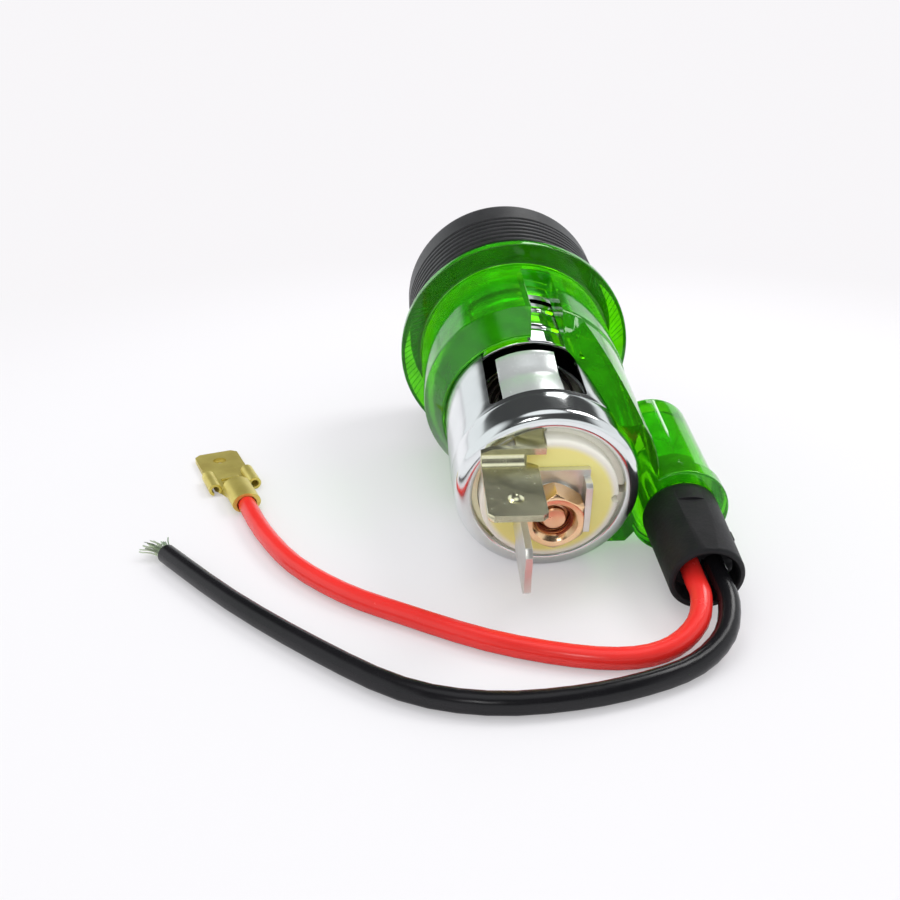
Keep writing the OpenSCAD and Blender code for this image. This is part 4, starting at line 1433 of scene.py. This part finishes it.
    def _ground(self) -> None:
        """Build the ground terminal: curved foot, riser, web, stepped root and dimpled blade."""
        forge = self.forge
        low, high, end = self.foot_low, self.foot_high, self.blade_end
        foot = self._sector(8.22, 9.9, low, high, -136, -5)
        heel = forge.block((-4.2, 6.95, low), (-0.9, 8.5, high))
        riser = forge.block((-4.2, 6.9, low + 0.05), (-0.9, 7.7, 38.5))
        web = forge.prism([(-8.2, 5.25), (-3.1, 5.25), (-3.1, 6.88), (-0.92, 6.88), (-0.92, 7.68),
                           (-6.9, 7.68),
                           (-8.2, 7.2)], 37.74, 38.52)
        blade = forge.prism([(-8.2, 38.4), (-3.3, 38.4), (-1.9, 39.3), (-1.9, 48.0), (-2.5, end), (-7.6, end),
                             (-8.2, 48.0)], 5.2, 6.0, "xz")
        bend = forge.prism([(5.6, 38.2), (7.1, 38.2)] + arc(7.15, 39.66, 1.15, 270, 180, 9) + [(5.6, 39.66)],
                           -8.15, -3.4, "yz")
        forge.combine("UNION", blade, web, bend, riser, heel, foot)
        bm = bmesh.new()
        bmesh.ops.create_uvsphere(bm, u_segments=28, v_segments=16, radius=self.ground_dimple_r)
        bmesh.ops.translate(bm, verts=bm.verts, vec=(-5.05, 6.66, 45.6))
        forge.combine("DIFFERENCE", blade, forge.draft(bm))
        forge.soften(blade, 0.14, 3, 35)
        self.put(blade, "ground_bent_blade", Palette.GROUND, "ground_terminal")


@dataclass
class LampWorks(Works):
    """Builds the lamp holder with its contacts and the small glass lamp."""

    flat: float = 4.25
    slot_half: float = 0.3
    nib_half: float = 0.6
    nib_reach: float = 4.88
    strip_half: float = 0.9
    strip_sheet: float = 0.3
    glass_r: float = 2.5
    glass_inner_r: float = 2.12
    dome: float = 22.9

    def build(self) -> None:
        """Build holder, contacts and lamp."""
        self._holder()
        self._contacts()
        self._bulb()

    def _holder(self) -> None:
        """Build the holder: plug, tapered grip with flats, nib and open rear end."""
        forge = self.forge
        x, y = M.lamp
        line: list[Point2] = [(0.0, 28.6), (3.95, 28.6), (4.1, 28.75), (4.1, 34.6), (4.45, 34.62)]
        line += arc(4.3, 34.92, 0.3, 270, 360, 4)
        line += [(4.6 - 0.3 * k / 8, 35.2 + 11.3 * k / 8) for k in range(9)]
        grip = forge.lathe(line + arc(3.9, 46.7, 0.4, 0, 90, 6) + [(0.0, 47.1)], 96, M.lamp)
        nib = forge.block((x + 3.8, y - self.nib_half, 39.2), (x + self.nib_reach, y + self.nib_half, 40.8),
                          0.0, 0.12)
        forge.combine("UNION", grip, nib)
        hole = forge.lathe([(0.0, 44.1), (3.3, 44.1), (3.5, 44.3), (3.5, 46.7), (3.62, 46.95), (3.8, 47.2),
                            (0.0, 47.2)], 72, M.lamp)
        forge.combine("DIFFERENCE", grip, hole, forge.rod(2.6, 28.0, 31.6, 48, M.lamp))
        for side in (-1, 1):
            slot_x = x + side * M.contact_x
            slot = forge.block((slot_x - self.slot_half, y - 1.2, 28.0),
                               (slot_x + self.slot_half, y + 1.2, 33.0))
            low, high = sorted((y + side * self.flat, y + side * 14.0))
            forge.combine("DIFFERENCE", grip, slot, forge.block((x - 20, low, 37.6), (x + 20, high, 50.0)))
        notch = forge.prism(arc(y - 0.4, 43.9, 0.9, 0, 345, 24), x, x + 9.0, "yz")
        forge.soften(forge.combine("DIFFERENCE", grip, notch), 0.12, 2, 35)
        self.put(grip, "holder_moulded", Palette.HOLDER, "lamp_holder")

    def _contacts(self) -> None:
        """Build the two sprung strips that touch the lamp's base."""
        for side, node in ((-1, "lamp_contact_feed"), (1, "lamp_contact_ground")):
            x = M.lamp_x + side * M.contact_x
            bow = [(x - 0.15 * side - side * 0.1 * math.sin(k / 8 * math.pi), 27.4 + 5.4 * k / 8)
                   for k in range(9)]
            back = [(a + self.strip_sheet * side, b) for a, b in reversed(bow)]
            strip = self.forge.prism(bow + back, M.lamp_y - self.strip_half, M.lamp_y + self.strip_half, "xz")
            self.put(self.forge.soften(strip, 0.05, 2, 50), f"{node}_strip", Palette.BRASS, node)

    def _bulb(self) -> None:
        """Build the glass with its pinched base, its coiled filament and the supports."""
        forge = self.forge
        r, inside = self.glass_r, self.glass_inner_r
        outer = arc(0.0, self.dome, r, -90, 0, 12)
        outer += [(r, 24.5), (r, 26.5), (r, 28.6), (2.4, 29.6), (2.0, 30.6), (1.7, 31.3), (0.0, 31.35)]
        inner = arc(0.0, self.dome, inside, -90, 0, 12)
        inner += [(inside, 24.5), (inside, 26.4), (2.1, 27.6), (1.7, 28.3), (0.0, 28.4)]
        glass = forge.combine("DIFFERENCE", *(forge.lathe(line, 64, M.lamp) for line in (outer, inner)))
        self.put(glass, "lamp_glass", Palette.GLASS, "lamp_bulb")
        start = Matrix.Translation((M.lamp_x - M.filament_x, M.lamp_y, 23.6))
        filament = self.recipes.coil(Palette.WIRE, start @ Matrix.Rotation(math.pi / 2, 4, "Y"),
                                     Turns=9.0, Radius=0.22, Height=2 * M.filament_x, Wire=0.04)
        self.put(filament, "lamp_filament", Palette.WIRE)
        for side, word in ((-1, "left"), (1, "right")):
            self.turned(f"lamp_support_{word}", Palette.WIRE, (), 12, [
                (0.0, 23.5), (0.11, 23.5), (0.13, 24.0), (0.13, 30.6), (0.0, 30.6)],
                (M.lamp_x + side * M.filament_x, M.lamp_y))


@dataclass
class CanWorks(Works):
    """Builds what the lighter's knob slides in: can, bush and spring."""

    body: ClassVar[Body] = Body.LIGHTER
    can_r: float = 10.2
    grooves: Point2 = (7.4, 12.9)
    spring_low: float = -14.4
    spring_high: float = 6.5
    spring_r: float = 3.4
    spring_wire: float = 0.35
    spring_gap: float = 0.4

    def build(self) -> None:
        """Build the can with its rim and rolled grooves, the bush and the spring."""
        line: list[Point2] = [(9.7, -2.7), (11.75, -2.7)] + arc(11.75, -2.45, 0.25, 270, 360, 4)
        line += [(12.0, -2.15)] + arc(11.75, -2.15, 0.25, 0, 90, 4)
        line += [(10.45, -1.9), (10.25, -1.8), (self.can_r, -1.6)]
        for middle in self.grooves:
            line += [(r, middle + z) for r, z in (
                (self.can_r, -1.2), (10.19, -0.6), (10.1, -0.32), (9.98, -0.12), (9.95, 0.0), (9.98, 0.12),
                (10.1, 0.32), (10.19, 0.6), (self.can_r, 1.2))]
        line += [(self.can_r, 16.8)] + arc(9.95, 16.85, 0.25, 0, 90, 5) + [(9.75, 17.1), (9.7, 17.0)]
        self.turned("can_rolled", Palette.CHROME, ["plug_can"], 160, line)
        self.turned("bush_moulded", Palette.HOLDER, ["guide_bush"], 96, [
            (1.55, 6.5), (9.4, 6.5), (9.6, 6.7), (9.6, 8.5), (9.4, 8.7), (4.6, 8.7), (4.4, 8.9), (4.4, 10.0),
            (4.1, 10.3), (1.8, 10.3), (1.55, 10.1)])
        low, high, gap = self.spring_low, self.spring_high, self.spring_gap
        spring = self.recipes.coil(Palette.WIRE, Matrix.Translation((0, 0, low + gap)),
                                   Turns=8.0, Radius=self.spring_r, Height=high - low - 2 * gap,
                                   Wire=self.spring_wire)
        self.put(spring, "spring_wound", Palette.WIRE, "return_spring")


@dataclass
class PlungerWorks(Works):
    """Builds what the push moves: knob, shaft and heater."""

    body: ClassVar[Body] = Body.PLUNGER
    knob_back: float = -6.0
    knob_front: float = -22.0
    knob_r: float = 15.1
    grooves: int = 6
    groove_pitch: float = 1.5
    shaft_r: float = 1.5
    ribbon_inner: float = 2.3
    ribbon_outer: float = 7.1
    ribbon_turns: int = 5
    ribbon_steps: int = 40

    def build(self) -> None:
        """Build every piece of the plunger."""
        self._knob()
        self._heater()

    def _knob(self) -> None:
        """Build the knob with its fine grooves, the plain dished insert, the shaft and its ring."""
        back, front, r, hole = self.knob_back, self.knob_front, self.knob_r, M.shaft_hole_r
        line: list[Point2] = [(11.1, front + 1.0), (11.1, front + 0.1), (11.25, front), (12.4, front)]
        line += arc(r - 2.4, front + 2.4, 2.4, -84, 0, 10) + [(r, front + 3.6), (r, front + 5.0)]
        for k in reversed(range(self.grooves)):
            middle = back - 1.2 - self.groove_pitch * k
            line += [(r - depth, middle + z) for depth, z in (
                (0.0, -0.5), (0.06, -0.42), (0.5, -0.26), (0.56, 0.0), (0.5, 0.26), (0.06, 0.42), (0.0, 0.5))]
        line += [(r, back - 0.25), (r - 0.08, back - 0.08), (r - 0.25, back), (12.5, back),
                 (12.3, back - 0.2),
                 (12.3, -15.0), (hole, -15.0), (hole, -19.0), (0.0, -19.0), (0.0, front + 1.0)]
        self.turned("knob_grooved", Palette.KNOB, ["knob"], 192, line)
        self.turned("insert_dished", Palette.FACE, ["knob_insert"], 128, [(r, front + z) for r, z in (
            (0.0, 0.98), (11.0, 0.98), (11.0, 0.4), (10.85, 0.2), (10.6, 0.15), (9.4, 0.15), (9.3, 0.28),
            (9.0, 0.28),
            (8.9, 0.15), (4.0, 0.15), (2.2, 0.22), (1.0, 0.36), (0.0, 0.4))])
        shaft = self.shaft_r
        self.turned("shaft_turned", Palette.WIRE, ["plunger_shaft"], 64, [
            (0.0, -18.98), (1.4, -18.98), (shaft, -18.9), (shaft, 13.0), (2.5, 13.02), (2.6, 13.1),
            (2.6, 13.4),
            (2.5, 13.5), (shaft, 13.56), (shaft, 14.5), (1.35, 14.78), (0.0, 14.8)])
        self.turned("ring_retaining", Palette.WIRE, ["retaining_ring"], 64, [
            (hole, -14.98), (2.5, -14.98), (2.6, -14.88), (2.6, -14.6), (2.5, -14.5), (hole, -14.5)])

    def _heater(self) -> None:
        """Build the heater cup with its rolled edge, its ceramic disc and the ribbon coil."""
        hole = M.shaft_hole_r
        line: list[Point2] = [(hole, 13.6), (7.6, 13.6)] + arc(7.6, 14.0, 0.4, 270, 360, 5) + [(8.0, 18.35)]
        line += arc(7.8, 18.4, 0.2, 0, 180, 6) + [(7.6, 14.2), (7.4, 14.0), (hole, 14.0)]
        self.turned("cup_drawn", Palette.CHROME, ["heater_cup"], 128, line)
        self.turned("disc_ceramic", Palette.CERAMIC, ["heater_insulator"], 96, [
            (hole, 14.02), (7.3, 14.02), (7.45, 14.2), (7.5, 15.2), (7.3, 15.4), (1.8, 15.4), (hole, 15.2)])
        inner, outer, turns, per = self.ribbon_inner, self.ribbon_outer, self.ribbon_turns, self.ribbon_steps
        section = ((0, 15.46), (0.28, 15.46), (0.28, 16.95), (0.14, 17.0), (0, 16.95))
        bm = bmesh.new()
        rows = []
        for k in range(turns * per + 1):
            turn = 2 * math.pi * k / per
            r = inner + (outer - inner) * k / (turns * per)
            wave = 0.05 * math.sin(k * 0.9)
            rows.append([bm.verts.new(((r + a) * math.cos(turn), (r + a) * math.sin(turn), z + wave))
                         for a, z in section])
        size = len(section)
        for here, there in zip(rows, rows[1:]):
            for i in range(size):
                j = (i + 1) % size
                bm.faces.new((here[i], here[j], there[j], there[i]))
        bm.faces.new(rows[0])
        bm.faces.new(rows[-1][::-1])
        self.put(self.forge.draft(bm), "coil_ribbon", Palette.RIBBON, "heater_coil")


@dataclass
class EndWorks(Works):
    """Builds the tab terminal and the bare strands at the wires' far ends."""

    tab_half: float = 3.15
    tab_low: float = 11.6
    tab_end: float = 20.2
    tab_hole_r: float = 0.95
    wing_x: float = 2.79
    wing_r: float = 0.9
    wing_inner_r: float = 0.5
    first_rib: float = 7.5
    rib_pitch: float = 1.3
    strands_middle: float = 0.85
    strands_low: float = 0.08
    strands_high: float = 1.7

    @staticmethod
    def at_end(route: Route) -> Matrix:
        """Return the matrix that sets a piece at a wire's end, with y along the wire.

        Args:
            route: The wire's route, in millimetres.

        Returns:
            The matrix from the piece's millimetres to the part's metres.
        """
        last, before = Vector(route[-1]), Vector(route[-2])
        along = last - before
        turn = math.atan2(along.y, along.x) - math.pi / 2
        return Matrix.Scale(MM, 4) @ Matrix.Translation((last.x, last.y, 0)) @ Matrix.Rotation(turn, 4, "Z")

    def terminal(self, route: Route) -> list[Object]:
        """Build the tab terminal: pierced tab, neck, curled wings, oval barrel and ribs.

        Args:
            route: The wire's route, in millimetres.

        Returns:
            Its pieces.
        """
        forge, metal = self.forge, M.sheet
        half, low, end = self.tab_half, self.tab_low, self.tab_end
        tab = forge.prism([(-half, low), (half, low), (half, 19.4), (2.35, end), (-2.35, end), (-half, 19.4)],
                          0.0, metal)
        forge.combine("DIFFERENCE", tab, forge.prism(arc(0.0, 17.0, self.tab_hole_r, 0, 348, 30), -1.0, 2.0))
        neck = forge.prism([(-1.5, 5.6), (1.5, 5.6), (2.1, 7.6), (2.6, 8.4), (2.6, 12.0), (-2.6, 12.0),
                            (-2.6, 8.4),
                            (-2.1, 7.6)], 0.0, metal)
        forge.combine("UNION", tab, neck)
        made = [("terminal_tab", forge.soften(tab, 0.1, 2, 40))]
        for side, word in ((-1, "left"), (1, "right")):
            x, r = side * self.wing_x, self.wing_r
            curl = arc(x, r, r, 250, 250 + side * 300, 30)
            inner = arc(x, r, self.wing_inner_r, 250 + side * 300, 250, 30)
            wing = forge.prism(curl + inner, 6.8, 11.8, "xz")
            made.append((f"terminal_wing_{word}", forge.soften(wing, 0.08, 2, 50)))
        turns = [math.radians(9 * k) for k in range(40)]
        outside, inside = ([(rx * math.cos(t), mid + rz * math.sin(t)) for t in turns]
                           for rx, rz, mid in ((1.95, 1.43, 1.45), (1.32, 1.14, 1.28)))
        barrel = forge.combine("DIFFERENCE", forge.prism(outside, 0.02, 6.0, "xz"),
                               forge.prism(inside, -1.0, 5.4, "xz"))
        made.append(("terminal_barrel", forge.soften(barrel, 0.1, 2, 50)))
        last_rib = forge.block((-1.3, -0.3, metal - 0.2), (1.3, 0.3, metal + 0.25), 0.0, 0.16)
        ribs = [new_object("rib", last_rib.data.copy()), new_object("rib", last_rib.data.copy()), last_rib]
        for k, rib in enumerate(ribs):
            rib.data.transform(Matrix.Translation((0, self.first_rib + self.rib_pitch * k, 0)))
            made.append((f"terminal_rib_{k + 1}", rib))
        nodes = {"terminal_tab": ["male_terminal"]}
        return [self.put(obj, name, Palette.BRASS, *nodes.get(name, ()), matrix=self.at_end(route))
                for name, obj in made]

    def strands(self, route: Route) -> list[Object]:
        """Build the fan of tinned strands.

        Args:
            route: The wire's route, in millimetres.

        Returns:
            Its pieces.
        """
        recipes = self.recipes
        fan = recipes.run(recipes.fan_of_strands, recipes.blank(), Palette.STRAND,
                          Count=42, Length=4.2, Spread=0.5, Wire=0.085, Seed=7)
        for v in fan.data.vertices:
            v.co.z = min(max(v.co.z + self.strands_middle, self.strands_low), self.strands_high)
        return [self.put(fan, "strands_fanned", Palette.STRAND, "bare_strands", matrix=self.at_end(route))]


@dataclass
class Wire:
    """One free wire laid on the floor, on the route that the solids have.

    Attributes:
        name: Name of the piece.
        finish: Its finish.
        route: Its route in the part's frame, in millimetres.
        diameter: Its thickness, in millimetres.
        steps: Points for each stretch between two route points.
        resolution: Fineness of its round section.
    """

    name: str
    finish: Finish
    route: Route
    diameter: float = 2.4
    steps: int = 3
    resolution: int = 8

    def smooth(self) -> list[Vector]:
        """Return the route as a smooth line, in metres."""
        pts = [Vector(p) * MM for p in self.route]
        line: list[Vector] = []
        for i in range(len(pts) - 1):
            a, b = pts[max(i - 1, 0)], pts[i]
            c, d = pts[i + 1], pts[min(i + 2, len(pts) - 1)]
            for k in range(self.steps):
                u = k / self.steps
                line.append(0.5 * (2 * b + (c - a) * u + (2 * a - 5 * b + 4 * c - d) * u * u
                                   + (3 * b - a - 3 * c + d) * u * u * u))
        line.append(pts[-1])
        return line

    def build(self, shop: FinishShop, far_end: str, with_pieces: Sequence[Object]) -> Object:
        """Args:
            shop: Gives the materials.
            with_pieces: The separate pieces on it; not used.

        Returns:
            The wire's object.
        """
        line = self.smooth()
        curve = bpy.data.curves.new(self.name, "CURVE")
        curve.dimensions = "3D"
        curve.bevel_depth = self.diameter * MM / 2
        curve.bevel_resolution = self.resolution
        curve.use_fill_caps = True
        spline = curve.splines.new("POLY")
        spline.points.add(len(line) - 1)
        for point, at in zip(spline.points, line):
            point.co = (*at, 1.0)
        curve.materials.append(shop.get(self.finish))
        obj = new_object(self.name, curve)
        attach(obj, Body.SOCKET.value)
        return obj


@dataclass
class Wiring:
    """The two wires with the tab terminal and the bare strands.

    Attributes:
        red: Route of the red wire, in millimetres.
        black: Route of the black wire, in millimetres.
    """

    red: Route = field(default_factory=lambda: [
        (12.2, -29.3, 5.03), (12.2, -33.2, 4.41), (12.2, -35.8, 3.8), (11, -38.9, 2.6),
        (7.9, -41.5, 1.6), (3.5, -42.8, 1.25), (-2.7, -42.1, 1.25), (-11.3, -38.8, 1.25),
        (-20.3, -33.2, 1.25),
        (-27, -28.4, 1.25), (-33.2, -21.6, 1.25), (-37.8, -13.2, 1.25), (-40.9, -5.2, 1.25)])
    black: Route = field(default_factory=lambda: [
        (15, -29.3, 5.03), (15, -33.2, 4.41), (15, -36.7, 3.6), (13.4, -40.8, 2.3),
        (9.5, -44.4, 1.4), (3.7, -47.1, 1.25), (-3.8, -49, 1.25), (-12.3, -49.3, 1.25), (-20.5, -46.6, 1.25),
        (-29.4, -39.4, 1.25), (-39.5, -29.4, 1.25), (-49, -18.2, 1.25)])

    def build(self, shop: FinishShop, ends: EndWorks) -> list[Object]:
        """Args:
            shop: Gives the materials.
            ends: Builds what is on their far ends.

        Returns:
            The wires.
        """
        tab = ends.terminal(self.red)
        bare = ends.strands(self.black)
        red = Wire("red_lead", Palette.RED, self.red).build(shop, "connector", tab)
        black = Wire("black_lead", Palette.BLACK, self.black).build(shop, "bare", bare)
        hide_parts("red_wire")
        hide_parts("black_wire")
        return [red, black]


def dress_nodes(shop: FinishShop, nodes: dict[str, Object]) -> None:
    """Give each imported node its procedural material.

    Args:
        shop: Gives the materials.
        nodes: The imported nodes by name.
    """
    for name, obj in nodes.items():
        finish = NODE_FINISH.get(name)
        if finish is None:
            LOG.warning("no finish for %s", name)
            continue
        material = shop.get(finish)
        if not obj.material_slots:
            obj.data.materials.append(material)
        for place in obj.material_slots:
            place.material = material


def main() -> None:
    """Build the studio, the wires and the dressed socket, in order."""
    logging.basicConfig(level=logging.INFO, format="%(name)s: %(message)s")
    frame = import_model()
    bpy.context.scene.view_settings.view_transform = "Standard"
    shop = FinishShop()
    Studio().build()
    forge = Forge(shop)
    recipes = NodeRecipes(forge)
    for wire in Wiring().build(shop, EndWorks(forge, recipes)):
        LOG.info("wire %s", wire.name)
    dress_nodes(shop, frame["nodes"])
    for works in (ShellWorks, RingWorks, RearWorks, LampWorks, CanWorks, PlungerWorks):
        works(forge, recipes).build()
    LOG.info("%d pieces", forge.count)


if __name__ == "__main__":
    main()
